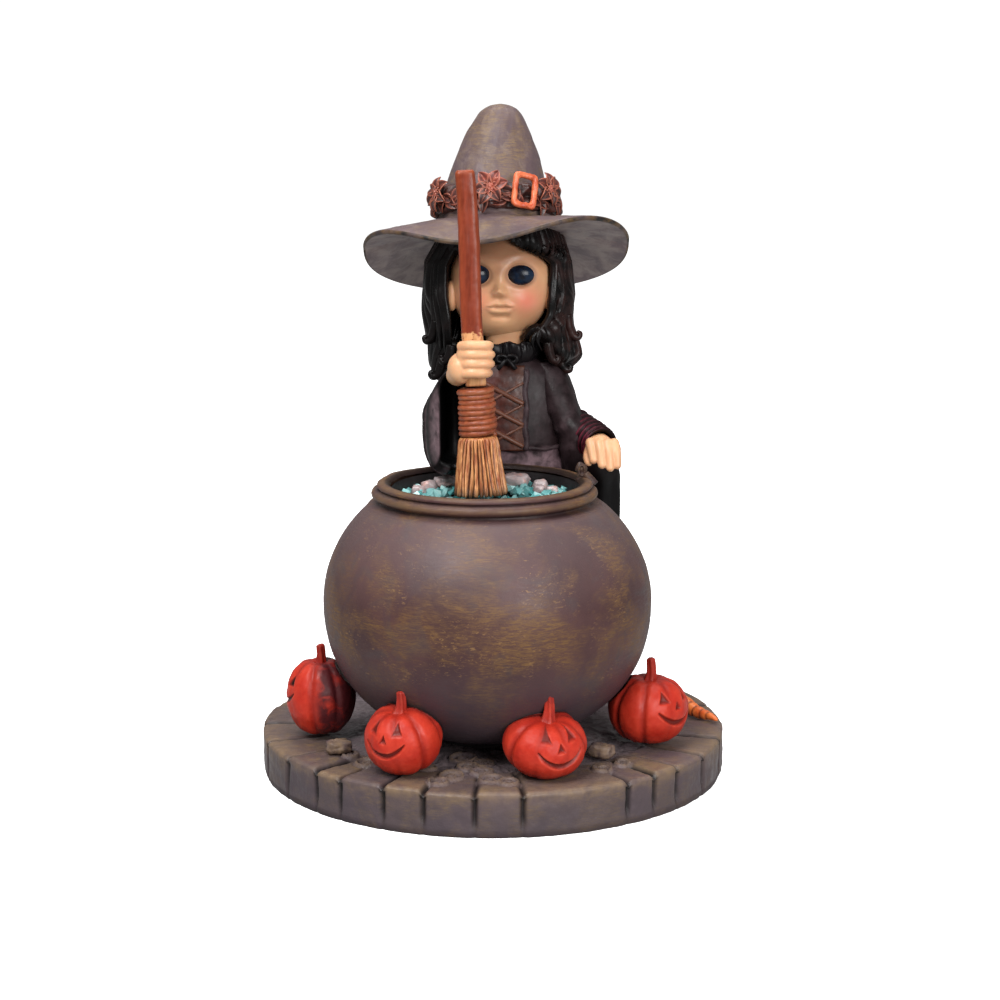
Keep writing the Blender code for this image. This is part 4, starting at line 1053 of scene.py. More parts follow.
def build_right_sleeve(look):
    # y, x, lower edge, upper edge, half thickness
    sections = (
        (29.0, -12.0, 99.0, 110.0, 5.6), (20.0, -13.2, 98.0, 111.3, 5.8), (12.0, -14.6, 93.5, 112.8, 5.6),
        (5.0, -14.6, 91.3, 114.5, 5.2), (-2.0, -13.4, 89.6, 117.2, 5.2), (-7.0, -12.4, 90.2, 120.0, 5.0),
        (-9.4, -11.4, 92.0, 121.8, 4.7),
    )

    def spot(stop, a):
        y, x, low, high, half = stop
        across, up = squircle(a, 3.2)
        px, pz = x + half * across, (low + high) / 2 + (high - low) / 2 * up
        outer = smooth((x - px) / 3.0)
        drop = smooth((high - pz) / 8.0)
        fold = sin(y * 1.1 + px * 1.9 + 0.05 * pz + 0.5 * sin(pz * 0.16))
        back = 0.5 * (fold - 1) * smooth((2 - y) / 6) * drop
        return (px + (0.75 * fold - 0.6) * outer * drop, y - back, pz), {
            "wear": outer * (0.38 + 0.62 * fold) * (0.4 + 0.6 * drop),
            # Painted shade: darker in the hollows of the folds on the outer side, and on the side against the
            # body towards the front.
            "gap": 0.45 * outer * drop * max(-fold, 0) + (1 - outer) * smooth((8 - y) / 8) * drop * 0.9,
        }

    rows = [[spot(stop, a) for a in circle(200)] for stop in through(sections, 12)]
    rings = [[place for place, _ in row] for row in rows]
    y, x, low, high, _ = sections[-1]
    middle = (low + high) / 2
    for back, shrink, source in ((0.1, 0.86, -1), (3.0, 0.74, -2), (9.0, 0.6, -2)):
        squeeze = 0.5 + shrink / 2
        ring = []
        for px, _, pz in rings[source]:
            ring.append((x + (px - x) * shrink, y + back, middle + (pz - middle) * squeeze))
        rings.append(ring)
    wear = [paint["wear"] for row in rows for _, paint in row] + [0.0] * 600
    # Painted shade: the rings that close the sleeve's end are painted black, standing in for the dark inside
    # of the sleeve.
    gap = [paint["gap"] for row in rows for _, paint in row] + [1.0] * 600
    shape = Shape()
    shape.add(rings, wear=wear, gap=gap)
    hub = [(0.2, 97.7), (5.6, 97.7), (6.5, 98.4), (6.5, 108.4), (5.4, 109.8), (4.0, 110.5), (0.2, 110.6)]
    shape.add(lathe(SHOULDER, through(hub, 3), 48), wear=0.2)
    shape.done("right_sleeve_drape", look, "robe_paint", "right_sleeve", "stir_arm", rough=((4.0, 0.1),))


def build_left_sleeve(look, red):
    sections = (
        (32.0, 26.5, 68.7, 7.2, 4.6), (31.0, 26.5, 80.0, 8.4, 5.6), (30.0, 25.4, 88.0, 8.6, 8.0),
        (25.6, 25.2, 98.5, 6.4, 8.8), (21.6, 26.4, 105.0, 5.6, 8.6), (19.6, 28.2, 112.0, 5.2, 7.6),
        (18.0, 29.6, 117.0, 4.5, 6.2), (15.6, 30.4, 119.6, 3.6, 4.8),
    )

    def spot(stop, a):
        x, y, z, wide, deep = stop
        across, along = squircle(a, 2.3)
        hang = smooth((94 - z) / 12)
        crease = sin((z - 0.5 * wide * across) * 1.05 + sin(a * 2))
        crease *= smooth((z - 90) / 6) * smooth((107 - z) / 6)
        push = 0.4 * sin(a * 7 + 0.05 * z) * hang + 0.3 * crease
        return off_pot((x + wide * across + push * cos(a), y + deep * along + push * sin(a), z)), {
            "wear": 0.11 * (1 - hang) + 0.22 * max(crease, 0),
            # Painted shade: the hanging end of the sleeve, below about 94 mm, is painted near black, standing
            # in for the shade inside it.
            "gap": 0.95 * hang,
        }

    shape = Shape()
    shape.sheet(through(sections, 10), circle(160), spot)
    shape.done("left_sleeve_drape", look, "robe_paint", "left_sleeve", rough=((4.0, 0.12),))
    stops = ((25.0, 26.0, 100.0, 5.4), (28.0, 22.5, 98.2, 5.6), (30.4, 19.0, 96.9, 5.6))
    fine = through(stops + ((32.2, 16.0, 96.0, 5.4), (32.8, 14.7, 95.7, 5.2)), 14)
    sizes = [r + 0.32 * sin(i * 0.85) for i, (_, _, _, r) in enumerate(fine)]
    rings = tube([Vector(p[:3]) for p in fine], sizes, 72)
    tip = Vector(fine[-1][:3])
    for shrink, back in ((0.84, Vector((-0.1, 0.5, 0))), (0.9, Vector((-0.6, 2.4, 0.5)))):
        rings.append([tip + (p - tip) * shrink + back for p in rings[-1]])
    wear, gap = [], []
    for i, ring in enumerate(rings):
        crest = max(0.0, sin(i * 0.85))
        for px, _, _ in ring:
            inner = smooth((fine[min(i, len(fine) - 1)][0] + 1.5 - px) / 5.0)
            wear.append((0.12 + 0.9 * crest) * (0.15 + 0.85 * inner))
        # Painted shade: near black in the cuff's opening and darker between its ridges.
        gap += [0.95 if i >= len(rings) - 2 else 0.5 * (1 - crest) ** 2] * 72
    cuff = Shape()
    cuff.add(rings, wear=wear, gap=gap)
    cuff.done("left_cuff", red, "robe_paint", rough=((3.0, 0.2),))


# ---------------------------------------------------------------- hands


def build_hands(look):
    balls = [((-9.2, -16.6, 123.2), (3.9, 4.8, 4.6)), ((-7.6, -18.4, 127.0), (2.9, 3.0, 3.6))]
    balls += [((-10.0, -14.6, 121.6), (3.3, 4.2, 3.6))]
    balls += beads([(-10.2, -9.8, 120.0), (-10.6, -12.0, 120.6), (-9.9, -14.6, 121.6)], [2.9, 3.0, 3.2])
    for i, out in enumerate((0.0, 0.4, 0.3, -0.3)):
        z = 130.3 - 2.65 * i
        line = [(-8.8, -19.2, z - 0.5), (-6.6, -21.2, z), (-3.6, -21.6, z)]
        line += [(-1.6 + out, -20.6, z - 0.1), (-0.8 + out, -18.4, z - 0.3)]
        balls += beads(line, [1.55, 1.52, 1.48, 1.42, 1.2])
    balls += beads([(-8.6, -12.8, 126.0), (-6.2, -11.4, 128.4), (-3.0, -11.6, 129.2)], [1.9, 1.7, 1.4])
    fused("right_hand_fist", balls, 6, look, "stir_arm", "right_hand")
    balls = [((32.4, 11.4, 96.0), (4.2, 3.4, 3.5)), ((35.2, 9.6, 95.2), (3.6, 3.0, 3.3))]
    balls += beads([(32.6, 16.2, 95.9), (33.2, 12.6, 95.8)], [3.3, 3.4])
    # Fingers: x, y of the knuckle, y and z of the tip
    fingers = ((30.0, 9.4, 7.4, 92.3), (32.5, 8.4, 6.2, 91.0), (35.0, 7.9, 5.8, 90.2), (37.2, 8.2, 6.6, 90.8))
    for x, knuckle, tip, low in fingers:
        line = [(x - 0.5, knuckle + 1.2, 97.2), (x, knuckle - 0.6, 94.6), (x + 0.3, tip, low)]
        balls += beads(line, [1.55, 1.5, 1.25], 8)
    balls += beads([(29.4, 11.6, 95.4), (28.6, 9.8, 93.0), (28.9, 8.6, 91.4)], [1.5, 1.4, 1.2])
    fused("left_hand_open", balls, 5, look, "figure", "left_hand")


# ---------------------------------------------------------------- broom


def build_broom(wood, cord, straw):
    side = (Vector((1, 0, 0)) - BROOM_WAY * BROOM_WAY.x).normalized()
    across = BROOM_WAY.cross(side)

    def handle_spot(d, turn):
        end = 1 - 0.22 * (1 - smooth(d / 0.9 + 0.15))
        half = (2.85 + 0.25 * smooth(d / 30) - 0.15 * smooth((d - 40) / 20)) * end
        wide, deep = squircle(turn + 0.06 * sin(d * 0.09), 4.2)
        bend = 0.22 * sin(d * 0.11)
        return BROOM_TOP + BROOM_WAY * d + side * (half * wide + bend) + across * (half * deep), {}

    shape = Shape()
    shape.sheet(steps(119, 0.0, 61.5), circle(48), handle_spot)
    handle_grain = ((6.0, 0.12), (1.5, 0.04))
    shape.done("broom_handle_bar", wood, "broom_handle_paint", "broom_handle", "stir_arm", rough=handle_grain)
    start = BROOM_TOP + BROOM_WAY * 61.7
    turns, per = 9, 40
    path, sizes = [], []
    for i in range(turns * per + 1):
        a = 2 * pi * i / per
        t = i / (turns * per)
        r = 4.5 + 0.3 * t + 0.18 * sin(a * 0.31 + 1)
        path.append(start + BROOM_WAY * (0.9 + 13.4 * t + 0.12 * sin(a)) + toward(side, across, a) * r)
        sizes.append(0.86 + 0.1 * sin(a * 0.73))
    wrap = Shape()
    wrap.add(tube(path, sizes, 12), wear=[0.55 * bell((k - 6) / 3.0) for k in range(12)] * len(path))
    core = [[start + BROOM_WAY * d + toward(side, across, a) * 4.35 for a in circle(40)] for d in (0.4, 14.4)]
    # Painted shade: the core under the cord is darkened where it shows between the wraps.
    wrap.add(core, gap=0.8)
    wrap.done("broom_cord_wraps", cord, "trim_paint", "broom_binding", "stir_arm", rough=((1.2, 0.12),))
    top = start + BROOM_WAY * 14.6
    length = (BROOM_FOOT - top).length
    profile = ((4.7, 0.0), (5.6, 1.0), (6.2, length * 0.35), (7.1, length * 0.75))
    profile += ((7.6, length * 0.97), (7.0, length))
    rows, gap = [], []
    for r, d in through(profile, 12):
        row = []
        for a in circle(360):
            phase = a * 17 + 0.9 * sin(a * 4 + d * 0.16) + 0.25 * sin(a * 9 + d * 0.3)
            cut = (1 - abs(sin(phase))) ** 2 * smooth(d / 1.5)
            reach = r - 1.0 * cut + 0.25 * sin(phase * 3.1) * smooth(d / 2)
            drop = d - 0.7 * cut * smooth((d - length + 3) / 3)
            row.append(top + BROOM_WAY * drop + toward(side, across, a) * reach)
            # Painted shade: the grooves between the strands are darkened, less so just under the binding.
            gap.append(min(1.0, cut * 1.5) * (0.4 + 0.6 * smooth(d / 4)))
        rows.append(row)
    rows.append([BROOM_FOOT + (p - BROOM_FOOT) * 0.55 - BROOM_WAY * 0.9 for p in rows[-1]])
    brush = Shape()
    # Painted shade: the underside closing the brush's foot is painted black.
    brush.add(rows, gap=gap + [1.0] * 360)
    brush.done("broom_straw", straw, "bristle_paint", "broom_bristles", "stir_arm", rough=((1.6, 0.1),))


# ---------------------------------------------------------------- head and hair


EYES = (("eye_ball_right", "eye_right", -4.9, 18.6), ("eye_ball_left", "eye_left", 8.4, 18.2))
EYE_Z = 147.2


def face_relief(x, z):
    """(how far the face stands out, blush, shade) at this place on its front."""
    push = blush = shade = 0.0
    for _, _, ex, _ in EYES:
        d = hypot((x - ex) / 4.3, (z - EYE_Z) / 3.3)
        push += -1.5 * bell(d / 1.05) + 0.25 * bell((d - 1.30) / 0.24)
        push += 0.75 * bell((z - 153.0 + 0.035 * (x - ex) ** 2) / 1.4) * bell((x - ex) / 4.6)
        shade = max(shade, 0.8 * bell((d - 1.02) / 0.17))
    nx, mx = x - 1.9, x - 2.2  # sideways from the nose and from the mouth
    push += 0.9 * bell(nx / 1.3) * smooth((152 - z) / 8) * smooth((z - 141.0) / 2)
    push += 2.1 * bell(hypot(nx / 1.55, (z - 142.5) / 1.5))
    push += 0.8 * sum(bell(hypot((nx - side) / 0.85, (z - 141.8) / 0.85)) for side in (1.55, -1.55))
    push -= 0.2 * bell(nx / 0.5) * bell((z - 139.9) / 0.8)
    bow = 138.5 + 0.35 * bell((abs(mx) - 1.5) / 1.0) - 0.045 * mx * mx
    push += 0.85 * bell((z - bow) / 0.8) * smooth((5.2 - abs(mx)) / 2.6)
    push += 0.9 * bell((z - 136.3 - 0.03 * mx * mx) / 0.95) * smooth((4.4 - abs(mx)) / 2.4)
    line = bell((z - 137.5 - 0.012 * mx * mx) / 0.3) * smooth((4.8 - abs(mx)) / 1.6)
    push -= 0.4 * line + 0.5 * bell((z - 134.5) / 0.8) * smooth((3.6 - abs(mx)) / 2)
    shade = max(shade, 0.75 * smooth((z - 147.5) / 5.0), 0.6 * bell(nx / 3.0) * bell((z - 149.0) / 2.5))
    for cx in (9.8, -5.8):
        push += 1.3 * bell(hypot((x - cx) / 4.9, (z - 138.4) / 4.4))
        blush = max(blush, bell(hypot((x - cx) / 4.2, (z - 139.4) / 4.0)))
    push += 0.9 * bell(hypot(mx / 4.0, (z - 131.8) / 2.6))
    return push, blush, max(shade, 0.6 * line, 0.5 * bell(hypot(nx / 1.8, (z - 140.7) / 0.5)))


def head_spot(tilt, a):
    d = Vector((cos(tilt) * sin(a), -cos(tilt) * cos(a), sin(tilt)))
    x, y, z = FACE.x + 15.9 * d.x, FACE.y + 14.5 * d.y, FACE.z + 17.4 * d.z
    front = smooth(-d.y * 2.2)
    push, blush, shade = face_relief(x, z) if front > 0 else (0.0, 0.0, 0.0)
    push *= front
    place = (x + d.x * push * 0.4, y - push, z + d.z * push * 0.2)
    return place, {"blush": blush * front, "shade": shade * front}


def build_head(look, eye):
    shape = Shape()
    shape.sheet(tilts(170), circle(240), head_spot, caps=False)
    neck = ((7.2, 119.5), (6.4, 123.0), (6.3, 127.0), (7.5, 132.0))
    shape.add(lathe((4.0, 30.4), through(neck, 5), 48), shade=0.25)
    for way in (-1, 1):

        def ear_spot(tilt, a):
            p = Vector((2.1 * cos(tilt) * cos(a), 3.3 * cos(tilt) * sin(a), 4.7 * sin(tilt)))
            hollow = 1 - 0.35 * bell(hypot(p.y / 1.5, p.z / 2.4)) * (p.x * way > 0)
            x = FACE.x + way * 15.0 + p.x * hollow
            return (x, 27.4 + p.y - 0.09 * abs(p.z), 140.2 + p.z), {"shade": 0.25}

        shape.sheet(tilts(24), circle(32), ear_spot, caps=False)
    shape.done("head_cast", look, "skin_paint", "head")
    for name, node, x, y in EYES:
        ball = Shape()
        rings = []
        for tilt in tilts(40):
            wide, deep, z = 4.05 * cos(tilt), 2.1 * cos(tilt), EYE_Z + 3.05 * sin(tilt)
            rings.append([(x + wide * cos(a), y + deep * sin(a), z) for a in circle(72)])
        ball.add(rings, caps=False)
        ball.done(name, eye, "eye_gloss", node)


# Sections of the hair: x, y, z, half width, half depth
HAIR = (
    (2.6, 36.0, 112.0, 17.5, 12.0), (2.6, 34.5, 116.0, 20.2, 14.4), (2.8, 33.8, 122.0, 21.8, 16.0),
    (1.7, 33.5, 130.0, 21.6, 17.3), (1.7, 33.5, 140.0, 22.0, 18.3), (1.5, 33.5, 150.0, 21.0, 17.8),
    (2.4, 33.0, 157.0, 18.0, 16.0), (3.0, 32.0, 163.5, 14.5, 13.2),
)

# Curled ends of the hair: x, y, z, way out, size, and then their curve: outward, upward, thickness
FLICKS = ((25.2, 28.5, 127.4, 1, 2.0), (22.4, 26.0, 117.6, 1, 2.0), (18.6, 21.5, 121.0, 1, 1.6))
FLICKS += ((-19.8, 27.0, 126.4, -1, 1.8), (-17.8, 25.5, 115.6, -1, 1.9), (-14.6, 21.5, 120.5, -1, 1.5))
FLICK = ((-1.2, 3.4, 1.5), (-0.9, 1.6, 1.5), (-0.3, 0.2, 1.35), (0.5, -0.1, 1.1), (0.8, 0.5, 0.8))
FLICK += ((0.35, 0.85, 0.4),)

# Locks, as degrees from the back
LOCKS = (-125, -118, -110, -101, -92, -82, -70, -57, -43, -29, -15)
LOCKS += (0, 15, 29, 43, 57, 70, 82, 92, 101, 110, 117, 122)


def hair_at(turn, z, out=0.0):
    """A point on the hair's outside: turn is the angle from the back, positive to the right."""
    for low, high in zip(HAIR, HAIR[1:]):
        if z <= high[2] or high is HAIR[-1]:
            t = max(0.0, min(1.0, (z - low[2]) / (high[2] - low[2])))
            x, y, _, wide, deep = (p + (q - p) * t for p, q in zip(low, high))
            break
    return Vector((x + (wide + out) * sin(turn), y + (deep + out) * cos(turn), z))


def hair_limit(z, right):
    """How far round to the front the hair reaches at this height."""
    if right:
        return radians(121 + 49 * smooth((z - 150) / 8) + 33 * smooth((136 - z) / 9))
    return radians(121 + 22 * smooth((z - 149) / 12) + 6 * smooth((136 - z) / 9))


def hair_turn(z, t):
    """The direction of this share of the way round the hair, from its left edge to its right."""
    return -hair_limit(z, False) * (1 - t) + hair_limit(z, True) * t


def hair_foot(turn):
    """Height of the lower edge of the hair in this direction."""
    right, left = turn * 180 / pi, -turn * 180 / pi
    rise = 5.5 * smooth((right - 50) / 45) + 9.0 * smooth((right - 112) / 40) + 1.2 * smooth((left - 60) / 40)
    return 112.8 + rise


def hair_spot(down, t):
    foot = hair_foot(hair_turn(120, t))
    z = 163.3 - (163.3 - foot) * down
    turn = hair_turn(z, t)
    grow = smooth((158 - z) / 25)
    phase = turn * 9.0 + 1.5 * sin(z / 7.5 + turn * 1.6) * grow
    fine = abs(sin(phase * 3 + 0.8 * sin(z / 4)))
    out = (1.5 * abs(sin(phase)) ** 0.8 - 1.2) * (0.45 + 0.55 * grow) + 0.45 * fine
    out += 0.7 * sin(z / 5.5 + turn * 3) * smooth((140 - z) / 12)
    out += 0.6 * bell((z - foot - 4) / 4.5) - 2.6 * (1 - smooth((z - foot) / 4.0))
    p = hair_at(turn, z, out - 2.2 * (1 - smooth(min(t, 1 - t) * 14)))
    p.z -= 1.5 * sin(phase) * smooth((foot + 7 - z) / 7)
    return p, {}


def build_hair(look):
    shape = Shape()
    shape.sheet(steps(150), steps(399), hair_spot, closed=False, caps=False)
    shape.done("hair_mass", look, "hair_paint", "hair", thick=2.6)
    rng = random.Random(5)
    locks = Shape()
    for n, degrees in enumerate(LOCKS):
        bottom = hair_foot(radians(degrees * 1.12)) + rng.uniform(-0.4, 2.0)
        swing = rng.uniform(0, 6)
        thick = rng.uniform(1.25, 1.75)
        path, sizes = [], []
        for t in steps(56):
            z = 161.5 + (bottom - 161.5) * t
            turn = radians(degrees) + 0.09 * sin(z / 5.2 + swing) * (0.3 + t)
            if degrees > 108:
                turn += 0.75 * smooth((z - 150) / 9) + 0.5 * smooth((136 - z) / 10)
            out = -0.5 + 0.8 * sin(z / 6.0 + swing) * t
            out += 1.2 * smooth((t - 0.84) / 0.16) * (1 if n % 2 else 0.3)
            path.append(hair_at(turn, z, out - (0.8 if abs(degrees) > 100 else 0.0)))
            size = thick * (0.75 + 0.35 * sin(pi * min(t * 1.2, 1)))
            sizes.append(size * (1 - 0.85 * smooth((t - 0.86) / 0.14)))
        locks.add(fluted(tube(path, sizes, 18), path, 4, 0.14, 0.08))
    fine = through(FLICK, 6)
    for x, y, z, way, size in FLICKS:
        path = [Vector((x + way * across * size, y, z + up * size)) for across, up, _ in fine]
        locks.add(tube(path, [thick for _, _, thick in fine], 14))
    locks.done("hair_locks", look, "hair_paint", rough=((2.5, 0.12),))


# ---------------------------------------------------------------- hat


def brim_edge(angle):
    from_dip = (angle + radians(98) + pi) % (2 * pi) - pi
    dip = BRIM_DIP * exp(-((from_dip / radians(40)) ** 2))
    across = sin(angle)
    fall = BRIM_SAG * across**0.75 if across > 0 else BRIM_DROP * across
    return BRIM_Z + BRIM_TILT * cos(angle) - fall - dip


def brim_ring(share, drop, count):
    ring = []
    for a in circle(count):
        rx = 18.8 + (BRIM_X - 18.8) * share
        ry = 18.4 + (BRIM_Y - 18.4) * share
        foot = CROWN_Z - 4.5 * sin(a)
        z = foot + (brim_edge(a) - foot) * share**1.15 - drop
        ring.append((HAT_X + rx * cos(a), HAT_Y + ry * sin(a), z))
    return ring


def crown_ring(r, z, count):
    part = (z - CROWN_Z) / CROWN_TALL
    x, y = HAT_X + 1.2 * part * part, HAT_Y + 1.7 * part
    tilt = 4.5 * max(0.0, 1 - part * 2.2)
    return [(x + r * cos(a), y + r * sin(a), z - tilt * sin(a)) for a in circle(count)]


def woven(rings, count):
    """The same rings with smooth rows put in between."""
    columns = [through([ring[k] for ring in rings], count) for k in range(len(rings[0]))]
    return [list(row) for row in zip(*columns)]


def build_hat(look):
    count, fine = 240, 6
    crown = ((0.4, 198.1), (3.4, 197.5), (6.3, 195.5), (9.0, 190.8), (12.2, 183.5), (14.0, 178.0))
    crown += ((16.2, 170.0), (17.8, 165.0))
    brim = ((0.0, 0.0), (0.25, 0.0), (0.5, 0.0), (0.75, 0.0), (0.95, 0.0), (0.99, 0.25), (1.0, 0.8))
    brim += ((0.985, 1.35), (0.94, 1.6), (0.7, 1.8), (0.4, 2.2), (0.0, 3.0))
    inside = ((15.2, 163.0), (13.4, 171.0), (11.0, 179.0), (6.0, 186.0), (0.4, 188.0))
    rings = [crown_ring(r, z, count) for r, z in crown]
    rings += [brim_ring(share, drop, count) for share, drop in brim]
    rings += [crown_ring(r, z, count) for r, z in inside]
    rows = woven(rings, fine)
    under, rim = [], []
    for i, row in enumerate(rows):
        step = i / fine
        on_edge = smooth((step - 12.35) / 0.5) * smooth((15.9 - step) / 0.5)
        for k, (x, y, z) in enumerate(row):
            a = 2 * pi * k / count
            if step < 11.9:
                out = 0.35 * rumble(cos(a) * 15, sin(a) * 15, z, 12.0) + 0.15 * rumble(x, y, z, 4.0)
                lift = 0.3 * rumble(x, y, 0, 9.0) if step > 8 else 0.0
                row[k] = (x + out * cos(a), y + out * sin(a), z + lift)
            rim.append(on_edge * (0.55 + 0.45 * smooth(0.5 + rumble(x, y, z, 5.0))))
        # Painted light: marks the brim's underside for the paler colour that stands in for light bounced up
        # under it.
        under += [smooth((step - 14.8) / 0.8)] * count
    shape = Shape()
    shape.add(rows, caps=False, under=under, rim=rim)
    shape.done("hat_cast", look, "hat_paint", "hat")


def on_band(angle, out, z):
    part = (z - CROWN_Z) / CROWN_TALL
    tilt = 4.5 * max(0.0, 1 - part * 2.2) * sin(angle)
    r = 18.8 - 2.88 * part + out
    return Vector((HAT_X + r * cos(angle), HAT_Y + r * sin(angle), z - tilt))


def standing(angle, lean):
    """Outward, sideways and upward directions on the hat in this direction."""
    outward = Vector((cos(angle), sin(angle), lean)).normalized()
    side = Vector((-sin(angle), cos(angle), 0))
    return outward, side, outward.cross(side)


def petal(shape, root, outward, way, length, width, lift, curl, tone, wear):
    """A pointed leaf with a channel down its middle and thin raised edges."""
    across = outward.cross(way)

    def spot(t, s):
        half = width * sin(pi * min(t**0.75, 1.0)) ** 0.75 + 0.05
        rise = lift + curl * sin(pi * t * 0.8) - 0.5 * curl * t * t
        rise += (0.55 * abs(s) - 0.15 * bell(s / 0.2)) * min(half, 1.2)
        return root + way * (length * t) + across * (half * s) + outward * rise, {
            "tone": tone * (1 - 0.2 * t),
            "wear": wear * max(bell((abs(s) - 1) / 0.25), 0.55 * bell(s / 0.14)),
            # Painted shade: darker in the hollows either side of the middle and at the root.
            "gap": 0.6 * bell((abs(s) - 0.45) / 0.2) + 0.4 * (1 - smooth(t * 5)),
        }

    shape.sheet(steps(12), steps(10, -1, 1), spot, closed=False, caps=False)


def build_ribbon(look):
    count = 288
    profile = ((17.6, 163.2), (19.4, 164.2), (19.5, 166.5), (18.5, 168.2), (18.9, 170.0), (18.3, 172.3))
    profile += ((16.8, 173.6), (15.6, 173.4))
    rows = woven([crown_ring(r, z, count) for r, z in profile], 4)
    gap = []
    for i, row in enumerate(rows):
        for k, (x, y, z) in enumerate(row):
            a = 2 * pi * k / count
            twist = 0.55 * sin(a * 12 + i * 0.35) + 0.3 * sin(a * 31 - i * 0.5)
            row[k] = (x + twist * cos(a), y + twist * sin(a), z)
            # The whole ribbon is darkened a little as its own colour, and more in the hollows of its folds as
            # painted shade.
            gap.append(0.45 + 0.4 * (twist < -0.2))
    band = Shape()
    band.add(rows, caps=False, gap=gap, tone=0.12, wear=0.1)
    band.done("hat_ribbon", look, "trim_paint", "hat_band", rough=((2.0, 0.2),))


# Flowers: name, direction in degrees, height, direction of the first petal, brightness
FLOWERS = (
    ("flower_front", -95, 172.0, 70, 1.0),
    ("flower_right", -37, 171.6, 30, 0.5),
    ("flower_left", -152, 170.4, 100, 0.4),
)
# Pairs of leaves, by their direction in degrees
LEAVES = (-176, -168, -160, -143, -135, -127, -118, -110, -103, -84, -78, -72, -52, -46)
LEAVES += (-30, -22, -14, -5, 4, 184, 193)


def build_band(look):
    rng = random.Random(3)
    for name, degrees, z, first, tint in FLOWERS:
        shape = Shape()
        outward, side, up = standing(radians(degrees), 0.25)
        middle = on_band(radians(degrees), 1.3, z)
        for k in range(6):
            turn = radians(first + 60 * k + rng.uniform(-9, 9))
            way = toward(side, up, turn)
            # Painted light: petals that point upwards get a bright red and those that point downwards a dark
            # one.
            tone = (0.95 if way.z > 0 else 0.2) * tint
            petal(shape, middle + way * 0.4, outward, way, rng.uniform(4.6, 5.6), 1.95, 0.35, 1.2, tone, 0.8)
        for k in range(5):
            turn = radians(first + 30 + 72 * k)
            way = toward(side, up, turn)
            root = middle + way * 0.3 + outward * 0.5
            petal(shape, root, outward, way, 2.6, 0.7, 0.3, 0.7, 0.9 * tint, 0.9)
        for k, a in enumerate(circle(7)):
            away, out = (0.75, 1.25) if k else (0.0, 1.5)
            centre = middle + outward * out + toward(side, up, a) * away
            rock(shape, centre, (0.5, 0.5, 0.5), k, 0, 7, tone=1.0, wear=0.5)
        shape.done(name + "_petals", look, "trim_paint", name, thick=0.3)
    leaves = Shape()
    for degrees in LEAVES:
        for _ in range(2):
            angle = radians(degrees + rng.uniform(-3, 3))
            outward, side, up = standing(angle, 0.15)
            turn = radians(rng.choice((25, 155, 205, 335, 260, 280)) + rng.uniform(-18, 18))
            way = toward(side, up, turn)
            root = on_band(angle, 0.4, 168.3 + rng.uniform(-2.2, 2.6)) - way * 1.2
            length, width, tone = rng.uniform(4.2, 5.8), rng.uniform(1.2, 1.7), rng.uniform(0.0, 0.35)
            petal(leaves, root, outward, way, length, width, 0.25, 0.6, tone, 0.5)
    leaves.done("hat_leaves", look, "trim_paint", thick=0.3)


def build_buckle(look):
    outward, side, up = standing(radians(-64), 0.25)
    lean = Matrix.Rotation(radians(-13), 3, outward)
    side, up = lean @ side, lean @ up
    middle = middle_of("hat_buckle") + outward * 0.3 + up * 0.9 - side * 0.5
    # Half width, half height, distance out
    section = ((3.05, 4.3, -0.8), (3.85, 5.25, -0.7), (4.05, 5.45, 0.1), (3.75, 5.1, 0.75), (2.9, 4.2, 0.8))
    section += ((2.45, 3.7, 0.3), (2.5, 3.75, -0.7))
    rows = []
    for wide, tall, out in section:
        row = []
        for a in circle(96):
            across, along = squircle(a, 6)
            wave = 1 + 0.035 * rumble(cos(a) * 6, sin(a) * 6, out, 3.0)
            row.append(middle + side * (wide * across * wave) + up * (tall * along * wave) + outward * out)
        rows.append(row)
    shape = Shape()
    shape.add(woven(rows + [rows[0]], 4), caps=False, gap=0.0)
    shape.done("hat_buckle_frame", look, "buckle_paint", "hat_buckle", rough=((1.6, 0.1),))


# ---------------------------------------------------------------- CAD nodes that stay


# Nodes, then the settings of their material: name, dark and light colour, roughness, metallic, size, grain
KEPT = (
    (
        ("base_cover", "battery_door"),
        ("cover_plastic", (0.012, 0.012, 0.013), (0.022, 0.021, 0.021), 0.45, 0.0, 0.8),
    ),
    (
        ("cell_holder", "switch_body", "switch_knob", "magnet_lever", "drive_bracket"),
        ("black_plastic", (0.014, 0.014, 0.015), (0.028, 0.027, 0.027), 0.38),
    ),
    (
        ("cover_screw_1", "cover_screw_2", "cover_screw_3", "door_pin")
        + ("coin_cell_1", "coin_cell_2", "stir_shaft", "drive_magnet"),
        ("bright_steel", (0.42, 0.42, 0.43), (0.62, 0.61, 0.60), 0.28, 1.0),
    ),
    (
        ("door_contact", "upper_contact_1", "upper_contact_2", "lower_bush", "upper_bush"),
        ("sprung_brass", (0.52, 0.36, 0.14), (0.70, 0.52, 0.24), 0.3, 1.0),
    ),
    (("drive_coil",), ("coil_copper", (0.48, 0.16, 0.06), (0.72, 0.30, 0.13), 0.32, 1.0, 0.5, 0.4)),
    (("circuit_board", "drive_board"), ("board_green", (0.010, 0.075, 0.030), (0.018, 0.12, 0.045), 0.35)),
    (("lamp",), ("lamp_lens", (0.72, 0.78, 0.74), (0.86, 0.90, 0.86), 0.15)),
    (("potion_tray",), ("tray_plastic", (0.03, 0.045, 0.045), (0.06, 0.085, 0.085), 0.2)),
    (("lead_red",), ("lead_coat_red", (0.40, 0.012, 0.012), (0.52, 0.03, 0.025), 0.4)),
    (("lead_black",), ("lead_coat_black", (0.012, 0.012, 0.012), (0.03, 0.03, 0.03), 0.4)),
)


def finish_cad_nodes():
    for names, settings in KEPT:
        material = plain(*settings)
        for name in names:
            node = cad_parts[name]
            if not node.material_slots:
                node.data.materials.append(material)
            for spot in node.material_slots:
                spot.link = "OBJECT"
                spot.material = material


